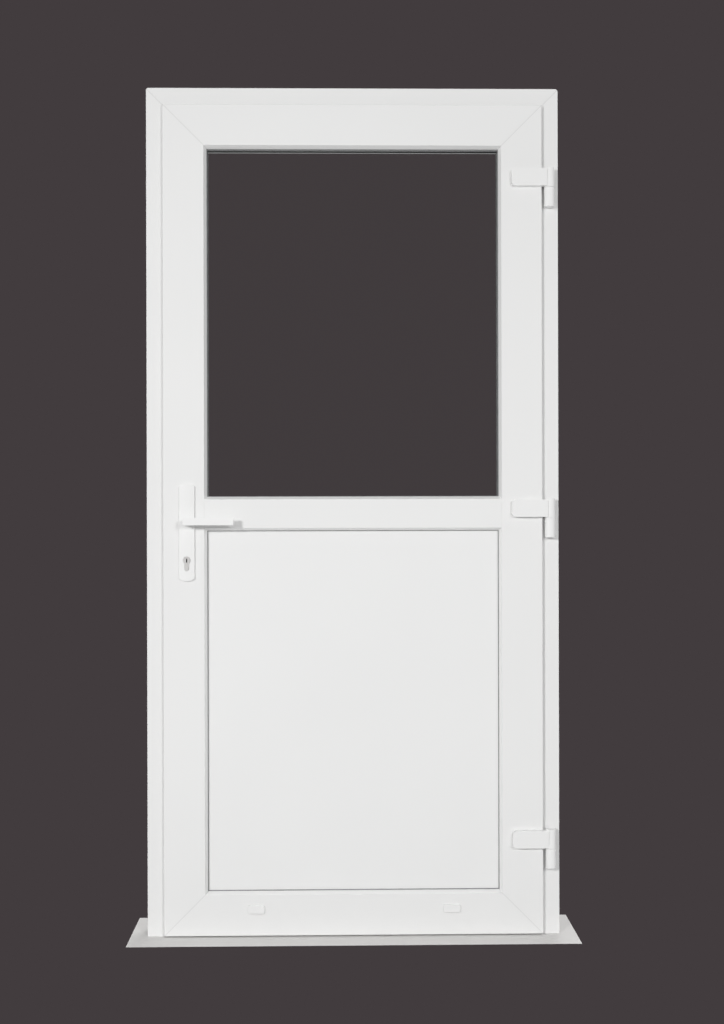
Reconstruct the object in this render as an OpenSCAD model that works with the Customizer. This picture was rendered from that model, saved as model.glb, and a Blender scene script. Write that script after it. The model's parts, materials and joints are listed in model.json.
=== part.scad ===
// White side-entrance door: a welded plastic leaf, glazed above and panelled below, in its outer frame.
// X runs to the right as seen from outside, Y from outside to inside and Z up, in millimetres.
// The origin is on the floor, at mid-width and mid-depth of the outer frame. The leaf opens outward.

/* [Outer frame] */
// Overall width of the outer frame
frame_w = 980; // [880:1:1100]
// Overall height of the outer frame
frame_h = 2015; // [1990:1:2150]
// Depth of the outer frame
frame_d = 70; // [68:1:80]
// Width of the frame leg, from the wall to the rebate
frame_leg = 48; // [46:1:54]
// Width of the frame that shows beside the leaf
frame_band = 40; // [38:1:41]
// Width of the frame that shows above the leaf
head_band = 42; // [39:1:43]
// How far the stop lip stands out of the leg
stop_reach = 20; // [18:1:22]
// Radius of the frame's top corners
frame_corner_r = 6; // [3:1:10]

/* [Leaf] */
// Depth of the leaf's profiles
leaf_d = 70; // [68:1:72]
// How far the leaf's face stands in front of the frame's face
leaf_proud = 15; // [13:1:18]
// Height of the leaf's lower edge above the floor
floor_gap = 3; // [2:1:10]
// Gap between the leaf's body and the frame's leg
rebate_gap = 12; // [11:0.5:13]
// Gap that each rubber seal closes
seal_gap = 3; // [2:0.5:4]
// Face width of the stiles and rails, with the sloped sight edge
stile_w = 103; // [99:1:114]
// Face width of the transom, with both sloped edges
transom_w = 80; // [74:1:94]
// Height of the transom's centre line
transom_z = 1003; // [940:1:1060]
// How far the glazing leg covers the glass rebate
glazing_leg = 18; // [16:1:20]
// Thickness of the glazing leg
glazing_leg_t = 18; // [17:0.5:19]
// Width of the sloped sight edge
sight_bevel = 6; // [4:0.5:8]
// Depth of the sloped sight edge
sight_bevel_d = 12; // [9:0.5:14]

/* [Profiles] */
// Outer wall of the plastic profiles
wall = 3; // [2.5:0.1:3.2]
// Inner web of the plastic profiles
web = 2; // [1.5:0.1:2.5]
// Depth of the front and back chambers
side_chamber = 11; // [9:0.5:12]
// Sheet thickness of the steel reinforcement
steel_t = 1.5; // [1:0.1:2.5]
// Clearance round the steel reinforcement
steel_clear = 0.2; // [0.1:0.05:0.4]
// Width of the groove that is cut along the welded joints
weld_w = 1.6; // [0.8:0.1:3]
// Depth of the groove along the welded joints
weld_d = 0.5; // [0.2:0.05:0.8]

/* [Glazing] */
// Thickness of the glass unit and of the infill panel
unit_t = 24; // [22:1:26]
// Thickness of each pane
pane_t = 4; // [3:0.5:6]
// Thickness of the gaskets on both sides of the glass and the panel
gasket_t = 3; // [2:0.5:4]
// Gap round the glass and the panel, filled by the setting blocks
edge_gap = 5; // [3:0.5:7]
// Thickness of the panel's plastic skins
skin_t = 1.5; // [1:0.1:2.5]

/* [Hinges] */
// Height of the line where the bottom hinge parts, above the leaf's lower edge
hinge_low = 204; // [150:1:300]
// Depth of the line where the top hinge parts, below the leaf's upper edge
hinge_high = 197; // [150:1:300]
// Radius of the hinge barrels
barrel_r = 12; // [10:0.5:13]
// Height of each barrel
barrel_h = 46; // [40:1:56]
// Distance of the hinge axis from the leaf's edge
hinge_out = 17; // [15.5:0.5:20]
// Gap between the barrels and the frame's face
barrel_foot = 6; // [4:0.5:9]
// Radius of the hinge pins
pin_r = 6; // [4:0.5:7]
// How far the hinge flags reach onto the leaf
flag_reach = 74; // [68:1:86]

/* [Lock and handles] */
// Height of the lever axis
lever_z = 985; // [960:1:1010]
// Distance of the lever axis from the leaf's edge
lever_in = 56.5; // [54:0.5:60]
// Distance from the lever axis down to the cylinder axis
cylinder_drop = 92; // [90:1:94]
// Width of the handle plates
plate_w = 36; // [32:1:40]
// Length of the handle plates
plate_h = 230; // [226:1:240]
// Thickness of the handle plates
plate_t = 9; // [7:0.5:11]
// Rise of the curved plate ends
plate_rise = 6; // [4:0.5:9]
// Length of the levers from their axis to the tip
lever_l = 113; // [100:1:124]
// Height of the lever bar
lever_h = 17.6; // [15:0.2:20]
// Thickness of the lever bar
lever_t = 12; // [10:0.5:14]
// Clear space between the handle plate and the lever bar
finger_gap = 27; // [24:1:36]
// Travel of the latch bolt
latch_throw = 12; // [11.5:0.1:12]
// Travel of the dead bolt
bolt_throw = 20; // [14:1:20]

/* [Drain caps] */
// Width of the drain caps
cap_w = 40; // [32:1:48]
// Height of the drain caps
cap_h = 19; // [15:1:24]
// Distance of the drain caps from the middle of the door
cap_x = 232; // [180:1:260]
// Height of the drain caps' centre line
cap_z = 66; // [57:1:75]

/* [Hidden] */
$fn = 48;
eps = 1;
hinge_names = ["bottom", "middle", "top"];

// Outer frame
face_y = -frame_d / 2;
overlap = frame_leg - frame_band;
stop_t = frame_d + leaf_proud - leaf_d - seal_gap;
stop_y = frame_d / 2 - stop_t;
frame_in = frame_w / 2 - frame_leg;
stop_in = frame_in - stop_reach;
profile_r = 1.5;

// Leaf
leaf_w = frame_w - 2 * frame_band;
leaf_h = frame_h - head_band - floor_gap;
leaf_top = floor_gap + leaf_h;
leaf_y = face_y - leaf_proud;
lip_t = leaf_proud - seal_gap;
lip_reach = overlap + rebate_gap;
lip_r = 2.5;
body_end = stile_w - glazing_leg;
main_v0 = wall + side_chamber + web;
leaf_main_v1 = leaf_d - main_v0;
frame_main_v1 = frame_d - main_v0;

// Groove for the lock's faceplate, all round the leaf's rebate face
groove_w = 16.4;
groove_d = 4.5;
lock_v = leaf_d / 2;
lock_y = leaf_y + lock_v;
groove_floor = lip_reach + groove_d;

// Glass and panel
unit_v = glazing_leg_t + gasket_t;
unit_y = leaf_y + unit_v;
bead_v = unit_v + unit_t + gasket_t;
bead_bevel = 6;
bead_wall = 1.8;
rebate_x = leaf_w / 2 - body_end;
transom_body = transom_w - 2 * glazing_leg;
glass_z0 = transom_z + transom_body / 2;
glass_z1 = leaf_top - body_end;
panel_z0 = floor_gap + body_end;
panel_z1 = transom_z - transom_body / 2;
unit_x = rebate_x - edge_gap;
gasket_show = 1.5;
gasket_w = 8;
spacer_in = 5;
spacer_w = 7;
block_l = 100;

// Threshold
threshold_leg = floor_gap + overlap;
threshold_stop = floor_gap + lip_reach + stop_reach - rebate_gap;
threshold_wall = 2;
end_block_t = 4;
end_block_l = 30;

// Seals
seal_w = 5;
seal_in = (overlap - seal_w) / 2;
seal_free = 0.3;

// Fixing holes through the jambs into the wall
fixing_r = 5;
fixing_end = 200;
fixing_pitch = (frame_h - 2 * fixing_end) / 3;

// Hinges
hinge_z0 = floor_gap + hinge_low;
hinge_z1 = leaf_top - hinge_high;
hinge_z = [hinge_z0, (hinge_z0 + hinge_z1) / 2, hinge_z1];
hinge_x = leaf_w / 2 + hinge_out;
hinge_y = face_y - barrel_foot - barrel_r;
hinge_gap = 0.4;
pin_run = 0.1;
pin_press = 0.02;
pin_cap = 5;
spigot_r = 5;
spigot_z = [12, 34];
spigot_clear = 0.1;
flag_t = 6;
cover_t = 2;
cover_d = 16;
cover_r = 9;
cover_cut = 6;
cover_end = hinge_x - cover_cut;
cover_fit = 0.2;
cover_step = 2;
flag_x0 = leaf_w / 2 - flag_reach;
hinge_screw_r = 2.5;
hinge_screw_l = 26;
hinge_screw_in = 12;
hinge_screw_pitch = 28;
hinge_screw_x = [flag_x0 + hinge_screw_in, flag_x0 + hinge_screw_in + hinge_screw_pitch];
hinge_screw_z = [12, 34];
screw_clear = 0.1;
head_r = 4.6;
head_t = 2.6;

// Lock
lever_x = -leaf_w / 2 + lever_in;
cylinder_z = lever_z - cylinder_drop;
faceplate_t = 3;
faceplate_w = 16;
faceplate_below = 150;
faceplate_above = 100;
faceplate_z0 = lever_z - faceplate_below;
faceplate_z1 = lever_z + faceplate_above;
faceplate_screw_in = 8;
faceplate_screw_z = [faceplate_z0 + faceplate_screw_in, faceplate_z1 - faceplate_screw_in];
faceplate_x = -leaf_w / 2 + groove_floor - faceplate_t;
case_back = 0.8;
case_x0 = -leaf_w / 2 + groove_floor;
case_x1 = -leaf_w / 2 + body_end - wall - steel_t - steel_clear - case_back;
case_t = 14;
case_wall = 1.5;
case_below = 32;
case_above = 71;
case_z0 = cylinder_z - case_below;
case_z1 = lever_z + case_above;
case_clear = 0.3;
inside_t = case_t - 2 * case_wall - 2 * case_clear;

latch_up = 34;
latch_z = lever_z + latch_up;
latch_h = 18;
latch_tail_t = 3.5;
latch_land = 2;
latch_tip = faceplate_x - latch_throw;
arm_w = 8;
arm_r = 18;
follower_r = 11;
hub_r = 8.8;
hub_clear = 0.3;
hub_l = case_t + 1;
hub_hole_clear = 1;
spindle_w = 8;
spindle_fit = 0.05;
arm_gap = 0.2;

bolt_down = 50;
bolt_z = lever_z - bolt_down;
bolt_h = 26;
bolt_tail_t = 1.8;
bolt_tail_w = 6;
bolt_run_out = 1;
bolt_l = faceplate_t + bolt_throw + bolt_tail_w + bolt_run_out;

strike_t = 8;
strike_w = 24;
strike_below = 82;
strike_above = 65;
strike_z0 = lever_z - strike_below;
strike_z1 = lever_z + strike_above;
strike_play = 3;
strike_screw_in = 7;
strike_screw_mid = 18;
strike_screw_z = [strike_z0 + strike_screw_in, lever_z - strike_screw_mid, strike_z1 - strike_screw_in];
strike_screw_r = 2.2;
strike_screw_l = 24;

euro_r = 8.5;
euro_leg_r = 5;
euro_h = 33;
euro_clear = 0.4;
euro_proud = 1.5;
plug_r = 6.8;
plug_run = 0.05;
cam_r = 15;
cam_w = 9.6;
cam_t = 6;
cam_slot_w = 10;
key_w = 2.6;
key_h = 9;
key_d = 14;
euro_screw_r = 2.5;
bridge_up = 4.5;
bridge_z = cylinder_z + euro_r - euro_h + bridge_up;

// Handles
plate_below = 141;
plate_z0 = lever_z - plate_below;
plate_z1 = plate_z0 + plate_h;
plate_screw_in = 7.5;
plate_screw_z = [plate_z0 + plate_screw_in, plate_z1 - plate_screw_in];
plate_dome = 2.5;
post_r = 4;
post_l = 20;
post_root = plate_t / 2;
post_bore_in = plate_t / 3;
post_clear = 0.3;
plate_bolt_r = 2.5;
neck_r = 8;
neck_clear = 0.3;
collar_r = 11;
collar_t = 3;
lever_back = 6;
lever_round = 6;
socket_d = 20;
socket_end = 2;
spindle_l = leaf_d + 2 * (plate_t + socket_d - socket_end);

// Drain caps
cap_t = 5;
cap_wall = 1.6;
cap_r = 4;
drain_w = 26;
drain_h = 6;
cap_fit = 0.2;

BODY_WHITE = "#F0F0EE";
STEEL = "#A9ADB0";
RUBBER = "#55565A";
ALUMINIUM = "#C4C7CA";
NICKEL = "#B9B6AE";

// Cuts a round of radius r into a square corner at the origin whose material lies towards +x and +y
module corner_cut(r) {
    difference() {
        translate([-eps, -eps]) square(r + eps);
        translate([r, r]) circle(r);
    }
}

// Removes what lies before the 45 degree plane that starts at the origin and climbs with x,
// and half of the groove along a welded joint, on both faces
module mitre_cut(reach, depth, weld) {
    rotate([0, -45, 0]) {
        translate([-reach, -eps, -2 * reach]) cube([4 * reach, depth + 2 * eps, 2 * reach]);
        if (weld) for (y = [-eps, depth - weld_d])
            translate([-reach, y, -eps]) cube([4 * reach, weld_d + eps, weld_w / 2 + eps]);
    }
}

// A profile run up Z, mitred at the high end, or at both
module mitred(length, reach, depth, weld, low = true) {
    difference() {
        linear_extrude(length) children();
        if (low) mitre_cut(reach, depth, weld);
        translate([0, 0, length]) mirror([0, 0, 1]) mitre_cut(reach, depth, weld);
    }
}

// Stands the profile run on the left side, and its mirror image on the right
module at_left(w, y, z) {
    translate([-w / 2, y, z]) children();
}

module at_right(w, y, z) {
    mirror([1, 0, 0]) at_left(w, y, z) children();
}

// Lays the profile run along the top, with its outer edge up, or along the bottom
module at_top(w, y, z) {
    translate([-w / 2, y, z]) rotate([0, 90, 0]) children();
}

module at_bottom(w, y, z) {
    translate([w / 2, y, z]) rotate([0, -90, 0]) children();
}

// A flat ring in the XZ plane, between an outer rectangle and one that lies in from it by w
module ring(x, z0, z1, w, y, depth) {
    translate([0, y, 0]) difference() {
        translate([-x, 0, z0]) cube([2 * x, depth, z1 - z0]);
        translate([-x + w, -eps, z0 + w]) cube([2 * (x - w), depth + 2 * eps, z1 - z0 - 2 * w]);
    }
}

// A round bar along Y or X, from the given end point
module rod_y(p, r, l) {
    translate(p) rotate([-90, 0, 0]) cylinder(r = r, h = l);
}

module rod_x(p, r, l) {
    translate(p) rotate([0, 90, 0]) cylinder(r = r, h = l);
}

// Frame profile: u runs from the wall to the leaf, v from outside to inside
module frame_section() {
    difference() {
        polygon([
            [0, 0], [frame_leg, 0], [frame_leg, frame_d - stop_t],
            [frame_leg + stop_reach, frame_d - stop_t], [frame_leg + stop_reach, frame_d], [0, frame_d]
        ]);
        translate([frame_leg, 0]) mirror([1, 0]) corner_cut(profile_r);
        translate([frame_leg + stop_reach, frame_d]) rotate(180) corner_cut(2 * profile_r);
        translate([frame_leg + stop_reach, frame_d - stop_t]) mirror([1, 0]) corner_cut(profile_r);
        translate([wall, wall]) square([frame_leg - 2 * wall, side_chamber]);
        translate([wall, main_v0]) square([frame_leg - 2 * wall, frame_main_v1 - main_v0]);
        translate([wall, frame_main_v1 + web]) square([frame_leg - 2 * wall, side_chamber]);
        translate([frame_leg, frame_d - stop_t + wall])
            square([stop_reach - wall, stop_t - 2 * wall]);
    }
}

// Square-cut foot on the floor, mitre at the head
module jamb() {
    difference() {
        at_left(frame_w, face_y, 0)
            mitred(frame_h, frame_leg + stop_reach, frame_d, true, low = false) frame_section();
        frame_corner();
        fixing_holes();
    }
}

// Rounds the frame's top corner as it shows from the front
module frame_corner() {
    translate([-frame_w / 2, face_y - eps, frame_h]) rotate([-90, 0, 0])
        linear_extrude(frame_d + 2 * eps) corner_cut(frame_corner_r);
}

module fixing_holes() {
    for (i = [0:3])
        rod_x([-frame_w / 2 - eps, 0, fixing_end + i * fixing_pitch], fixing_r, frame_leg + 2 * eps);
}

module lock_jamb() {
    color(BODY_WHITE) difference() {
        jamb();
        strike_pocket();
        strike_screw_shanks(screw_clear);
    }
}

module hinge_jamb() {
    color(BODY_WHITE) difference() {
        mirror([1, 0, 0]) jamb();
        for (z = hinge_z) spigots(z, spigot_r + spigot_clear);
    }
}

module frame_head() {
    color(BODY_WHITE) difference() {
        at_top(frame_w, face_y, frame_h)
            mitred(frame_w, frame_leg + stop_reach, frame_d, true) frame_section();
        frame_corner();
        mirror([1, 0, 0]) frame_corner();
    }
}

// Square tube of sheet steel that fills a chamber from (u0, v0) to (u1, v1)
module steel_tube(u0, v0, u1, v1, length) {
    c = steel_clear;
    t = steel_clear + steel_t;
    linear_extrude(length) difference() {
        translate([u0 + c, v0 + c]) square([u1 - u0 - 2 * c, v1 - v0 - 2 * c]);
        translate([u0 + t, v0 + t]) square([u1 - u0 - 2 * t, v1 - v0 - 2 * t]);
    }
}

module frame_steel(length) {
    steel_tube(wall, main_v0, frame_leg - wall, frame_main_v1, length);
}

module frame_steels() {
    jamb_l = frame_h - frame_leg - end_block_l;
    head_l = frame_w - 2 * (frame_leg + end_block_l);
    color(STEEL) {
        difference() {
            at_left(frame_w, face_y, 0) frame_steel(jamb_l);
            fixing_holes();
            strike_pocket();
            strike_screw_shanks(screw_clear);
        }
        mirror([1, 0, 0]) difference() {
            at_left(frame_w, face_y, 0) frame_steel(jamb_l);
            fixing_holes();
        }
        at_top(head_l, face_y, frame_h) frame_steel(head_l);
    }
}

// Low threshold with a stop at the back, between the jambs
module threshold_section(y0, y1, h) {
    t = threshold_wall;
    rotate([90, 0, 90]) linear_extrude(2 * (y0 < stop_y ? frame_in - end_block_t : stop_in), center = true)
        difference() {
            translate([y0, 0]) square([y1 - y0, h]);
            translate([y0 + t, t]) square([y1 - y0 - 2 * t, h - 2 * t]);
        }
}

module threshold() {
    color(ALUMINIUM) {
        threshold_section(face_y, stop_y, threshold_leg);
        threshold_section(stop_y, frame_d / 2, threshold_stop);
    }
}

// Plastic blocks plugged into the threshold's hollow ends, against the jambs
module threshold_end_blocks() {
    t = threshold_wall + steel_clear;
    color(BODY_WHITE) for (side = [0, 1]) mirror([side, 0, 0]) {
        translate([frame_in - end_block_t, face_y, 0])
            cube([end_block_t, stop_y - face_y, threshold_leg]);
        translate([frame_in - end_block_t - end_block_l, face_y + t, t])
            cube([end_block_l, stop_y - face_y - 2 * t, threshold_leg - 2 * t]);
    }
}

module frame_seal() {
    x = stop_in + overlap - seal_in;
    z0 = floor_gap + lip_reach + seal_in;
    z1 = leaf_top - lip_reach - seal_in;
    color(RUBBER) ring(x, z0, z1, seal_w, stop_y - seal_gap + seal_free, seal_gap - seal_free);
}

// Where the dead bolt enters the jamb, through the wall and the steel behind it
module strike_pocket() {
    y0 = lock_y - inside_t / 2 - strike_play;
    translate([-frame_in - bolt_throw, y0, bolt_z - bolt_h / 2 - strike_play])
        cube([bolt_throw + eps, inside_t + 2 * strike_play, bolt_h + 2 * strike_play]);
}

module strike_screw_shanks(clear) {
    for (z = strike_screw_z)
        rod_x([-frame_in + strike_t - strike_screw_l, lock_y, z], strike_screw_r + clear, strike_screw_l);
}

// Keep on the jamb: a pocket for the dead bolt, and a mouth for the latch that is open to the outside
module strike_plate() {
    y0 = lock_y - strike_w / 2;
    bolt_y = lock_y - inside_t / 2 - strike_play;
    latch_side = lock_y + inside_t / 2 + case_clear;
    color(STEEL) difference() {
        translate([-frame_in, y0, strike_z0]) cube([strike_t, strike_w, strike_z1 - strike_z0]);
        translate([-frame_in - eps, bolt_y, bolt_z - bolt_h / 2 - strike_play])
            cube([strike_t + 2 * eps, inside_t + 2 * strike_play, bolt_h + 2 * strike_play]);
        translate([-frame_in - eps, y0 - eps, latch_z - latch_h / 2 - strike_play])
            cube([strike_t + 2 * eps, latch_side - y0 + eps, latch_h + 2 * strike_play]);
        strike_screw_shanks(screw_clear);
        for (z = strike_screw_z)
            rod_x([-frame_in + strike_t - head_t, lock_y, z], head_r + screw_clear, head_t + eps);
    }
}

module strike_screws() {
    color(STEEL) for (z = strike_screw_z) {
        rod_x([-frame_in + strike_t - strike_screw_l, lock_y, z], strike_screw_r, strike_screw_l - head_t);
        rod_x([-frame_in + strike_t - head_t, lock_y, z], head_r, head_t);
    }
}

// Spigots of a hinge barrel, that go into the jamb as far as its first inner web
module spigots(z, r) {
    for (dz = spigot_z)
        rod_y([hinge_x, hinge_y, z - dz], r, face_y + wall + side_chamber - hinge_y);
}

module hinge_barrel(z) {
    color(BODY_WHITE) difference() {
        union() {
            translate([hinge_x, hinge_y, z - barrel_h]) cylinder(r = barrel_r, h = barrel_h);
            translate([hinge_x - barrel_r / 2, hinge_y, z - barrel_h])
                cube([barrel_r, barrel_r + barrel_foot, barrel_h]);
            spigots(z, spigot_r);
        }
        translate([hinge_x, hinge_y, z - barrel_h + pin_cap]) cylinder(r = pin_r + pin_press, h = barrel_h);
    }
}

module hinge_pins() {
    color(STEEL) for (z = hinge_z)
        translate([hinge_x, hinge_y, z - barrel_h + pin_cap])
            cylinder(r = pin_r, h = 2 * (barrel_h - pin_cap));
}

// Leaf profile: u runs from the leaf's edge to the glass, v from outside to inside
module leaf_outline() {
    polygon([
        [0, 0], [stile_w - sight_bevel, 0], [stile_w, sight_bevel_d], [stile_w, glazing_leg_t],
        [body_end, glazing_leg_t], [body_end, leaf_d], [lip_reach, leaf_d], [lip_reach, lip_t], [0, lip_t]
    ]);
}

module leaf_section() {
    chamber_u = lip_reach + wall;
    chamber_w = body_end - wall - chamber_u;
    front_v = wall + side_chamber;
    step_w = groove_w + 2 * wall;
    difference() {
        leaf_outline();
        corner_cut(lip_r);
        translate([0, lip_t]) mirror([0, 1]) corner_cut(profile_r);
        translate([lip_reach, leaf_d]) mirror([0, 1]) corner_cut(profile_r);
        translate([stile_w, glazing_leg_t]) rotate(180) corner_cut(profile_r);
        translate([wall, wall]) square([lip_reach - wall, lip_t - 2 * wall]);
        translate([chamber_u, wall]) square([chamber_w, side_chamber]);
        translate([body_end - wall + web, wall])
            square([glazing_leg - sight_bevel - web, side_chamber]);
        translate([chamber_u, leaf_main_v1 + web]) square([chamber_w, side_chamber]);
        translate([lip_reach - eps, lock_v - groove_w / 2]) square([groove_d + eps, groove_w]);
        difference() {
            translate([chamber_u, main_v0]) square([chamber_w, leaf_main_v1 - main_v0]);
            translate([chamber_u - eps, lock_v - step_w / 2]) square([groove_d + eps, step_w]);
        }
    }
}

module leaf_member(length) {
    mitred(length, stile_w, leaf_d, true) leaf_section();
}

module lock_stile() {
    color(BODY_WHITE) difference() {
        at_left(leaf_w, leaf_y, floor_gap) leaf_member(leaf_h);
        lock_slot();
        handle_holes();
    }
}

// Slot behind the faceplate that the lock case goes in through
module lock_slot() {
    translate([case_x0 - eps, lock_y - case_t / 2 - case_clear, case_z0 - case_clear])
        cube([wall + 2 * eps + groove_d, case_t + 2 * case_clear, case_z1 - case_z0 + 2 * case_clear]);
}

// Holes through the stile for the follower's hub, the cylinder and the plates' posts and bolts
module handle_holes() {
    y0 = leaf_y - eps;
    l = leaf_d + 2 * eps;
    rod_y([lever_x, y0, lever_z], neck_r + hub_hole_clear, l);
    translate([0, y0, 0]) euro_profile(l, euro_clear);
    for (z = plate_screw_z) rod_y([lever_x, y0, z], post_r + post_clear, l);
}

module hinge_stile() {
    color(BODY_WHITE) difference() {
        at_right(leaf_w, leaf_y, floor_gap) leaf_member(leaf_h);
        for (z = hinge_z) hinge_screw_shanks(z, screw_clear);
    }
}

module top_rail() {
    color(BODY_WHITE) at_top(leaf_w, leaf_y, leaf_top) leaf_member(leaf_w);
}

// Drained through slots behind the caps
module bottom_rail() {
    color(BODY_WHITE) difference() {
        at_bottom(leaf_w, leaf_y, floor_gap) leaf_member(leaf_w);
        for (x = [-cap_x, cap_x])
            translate([x - drain_w / 2, leaf_y - eps, cap_z - drain_h / 2])
                cube([drain_w, wall + 2 * eps, drain_h]);
    }
}

// Transom profile about its own centre line, with a glazing leg on each side
module transom_section() {
    h = transom_w / 2;
    b = transom_body / 2;
    c = b - wall;
    difference() {
        polygon([
            [sight_bevel - h, 0], [h - sight_bevel, 0], [h, sight_bevel_d], [h, glazing_leg_t],
            [b, glazing_leg_t], [b, leaf_d], [-b, leaf_d], [-b, glazing_leg_t], [-h, glazing_leg_t],
            [-h, sight_bevel_d]
        ]);
        translate([sight_bevel + wall - h, wall])
            square([2 * (h - sight_bevel - wall), side_chamber]);
        translate([-c, main_v0]) square([2 * c, leaf_main_v1 - main_v0]);
        translate([-c, leaf_main_v1 + web]) square([2 * c, side_chamber]);
    }
}

// The transom's ends are coped to the slope of the stiles
module transom() {
    color(BODY_WHITE) difference() {
        at_top(2 * rebate_x, leaf_y, transom_z) linear_extrude(2 * rebate_x) transom_section();
        for (side = [0, 1]) mirror([side, 0, 0]) at_left(leaf_w, leaf_y, transom_z - transom_w) {
            linear_extrude(2 * transom_w) leaf_outline();
            translate([stile_w - sight_bevel, -eps, 0]) cube([weld_w / 2, weld_d + eps, 2 * transom_w]);
        }
    }
}

// Channel in the lock stile, open towards the lock
module lock_channel(length) {
    u0 = groove_floor + wall;
    t = steel_clear + steel_t;
    difference() {
        steel_tube(u0, main_v0, body_end - wall, leaf_main_v1, length);
        translate([u0 - eps, main_v0 + t, -eps])
            cube([steel_t + 2 * eps, leaf_main_v1 - main_v0 - 2 * t, length + 2 * eps]);
    }
}

module leaf_steels() {
    u0 = groove_floor + wall;
    stile_l = leaf_h - 2 * stile_w;
    rail_l = leaf_w - 2 * stile_w;
    b = transom_body / 2 - wall;
    color(STEEL) {
        difference() {
            at_left(leaf_w, leaf_y, floor_gap + stile_w) lock_channel(stile_l);
            handle_holes();
        }
        difference() {
            at_right(leaf_w, leaf_y, floor_gap + stile_w)
                steel_tube(u0, main_v0, body_end - wall, leaf_main_v1, stile_l);
            for (z = hinge_z) hinge_screw_shanks(z, screw_clear);
        }
        at_top(rail_l, leaf_y, leaf_top) steel_tube(u0, main_v0, body_end - wall, leaf_main_v1, rail_l);
        at_bottom(rail_l, leaf_y, floor_gap) steel_tube(u0, main_v0, body_end - wall, leaf_main_v1, rail_l);
        at_top(rail_l, leaf_y, transom_z) steel_tube(-b, main_v0, b, leaf_main_v1, rail_l);
    }
}

module leaf_seal() {
    x = leaf_w / 2 - seal_in;
    z0 = floor_gap + seal_in;
    color(RUBBER) ring(x, z0, leaf_top - seal_in, seal_w, leaf_y + lip_t, seal_gap - seal_free);
}

// A pane that fills the glass rebate but for the edge gap
module pane(y, t) {
    translate([-unit_x, y, glass_z0 + edge_gap])
        cube([2 * unit_x, t, glass_z1 - glass_z0 - 2 * edge_gap]);
}

module outer_glass() {
    color("#DCE8E8", 0.35) pane(unit_y, pane_t);
}

module inner_glass() {
    color("#DCE8E8", 0.35) pane(unit_y + unit_t - pane_t, pane_t);
}

module glass_spacer() {
    in = edge_gap + spacer_in;
    color(ALUMINIUM) ring(
        rebate_x - in, glass_z0 + in, glass_z1 - in, spacer_w, unit_y + pane_t, unit_t - 2 * pane_t
    );
}

module glass_edge_seal() {
    color(RUBBER) ring(
        unit_x, glass_z0 + edge_gap, glass_z1 - edge_gap, spacer_in, unit_y + pane_t, unit_t - 2 * pane_t
    );
}

// Gasket round one rebate, that shows a little past the sight line
module gasket(z0, z1, y) {
    in = glazing_leg + gasket_show - gasket_w;
    color(RUBBER) ring(rebate_x - in, z0 + in, z1 - in, gasket_w, y, gasket_t);
}

// One layer of the infill panel, which is a bonded board of two skins and a foam core
module panel_layer(y, t) {
    translate([-unit_x, y, panel_z0 + edge_gap])
        cube([2 * unit_x, t, panel_z1 - panel_z0 - 2 * edge_gap]);
}

module panel_skins() {
    color(BODY_WHITE) {
        panel_layer(unit_y, skin_t);
        panel_layer(unit_y + unit_t - skin_t, skin_t);
    }
}

module panel_core() {
    color("#C9D3DC") panel_layer(unit_y + skin_t, unit_t - 2 * skin_t);
}

// Hollow glazing bead, sloped towards the room
module bead_section() {
    d = leaf_d - bead_v;
    t = bead_wall;
    difference() {
        polygon([
            [0, 0], [glazing_leg, 0], [glazing_leg, d - 2 * bead_bevel],
            [glazing_leg - bead_bevel, d], [0, d]
        ]);
        translate([t, t]) square([glazing_leg - bead_bevel - 2 * t, d - 2 * t]);
    }
}

module bead(length) {
    mitred(length, glazing_leg, leaf_d - bead_v, false) bead_section();
}

module side_beads(z0, z1) {
    color(BODY_WHITE) {
        at_left(2 * rebate_x, leaf_y + bead_v, z0) bead(z1 - z0);
        at_right(2 * rebate_x, leaf_y + bead_v, z0) bead(z1 - z0);
    }
}

module cross_beads(z0, z1) {
    color(BODY_WHITE) {
        at_top(2 * rebate_x, leaf_y + bead_v, z1) bead(2 * rebate_x);
        at_bottom(2 * rebate_x, leaf_y + bead_v, z0) bead(2 * rebate_x);
    }
}

// Blocks that carry and centre one pane or panel in its rebate
module blocks_round(z0, z1) {
    for (x = [-rebate_x / 2, rebate_x / 2]) {
        translate([x - block_l / 2, unit_y, z0]) cube([block_l, unit_t, edge_gap]);
        translate([x - block_l / 2, unit_y, z1 - edge_gap]) cube([block_l, unit_t, edge_gap]);
    }
    for (x = [-rebate_x, unit_x], z = [z0 + 2 * block_l, z1 - 3 * block_l])
        translate([x, unit_y, z]) cube([edge_gap, unit_t, block_l]);
}

module setting_blocks() {
    color("#3F6FA8") {
        blocks_round(glass_z0, glass_z1);
        blocks_round(panel_z0, panel_z1);
    }
}

// Hooded cap over each drain slot, open below, with a tongue in the slot
module drain_cap() {
    difference() {
        union() {
            translate([-cap_w / 2, -cap_t, -cap_h / 2 + cap_r]) cube([cap_w, cap_t, cap_h - 2 * cap_r]);
            translate([-cap_w / 2 + cap_r, -cap_t, -cap_h / 2]) cube([cap_w - 2 * cap_r, cap_t, cap_h]);
            for (x = [-1, 1], z = [-1, 1])
                rod_y([x * (cap_w / 2 - cap_r), -cap_t, z * (cap_h / 2 - cap_r)], cap_r, cap_t);
        }
        translate([-cap_w / 2 + cap_r, -cap_t + cap_wall, -cap_h / 2 - eps])
            cube([cap_w - 2 * cap_r, cap_t - cap_wall + eps, cap_h - cap_wall]);
    }
    translate([-drain_w / 2 + cap_fit, -cap_t + cap_wall, drain_h / 2 - cap_wall - cap_fit])
        cube([drain_w - 2 * cap_fit, cap_t - cap_wall + wall, cap_wall]);
}

module drain_caps() {
    color(BODY_WHITE) for (x = [-cap_x, cap_x]) translate([x, leaf_y, cap_z]) drain_cap();
}

module hinge_screw_shanks(z, clear) {
    for (x = hinge_screw_x, dz = hinge_screw_z)
        rod_y([x, leaf_y - flag_t, z + dz], hinge_screw_r + clear, hinge_screw_l);
}

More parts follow.
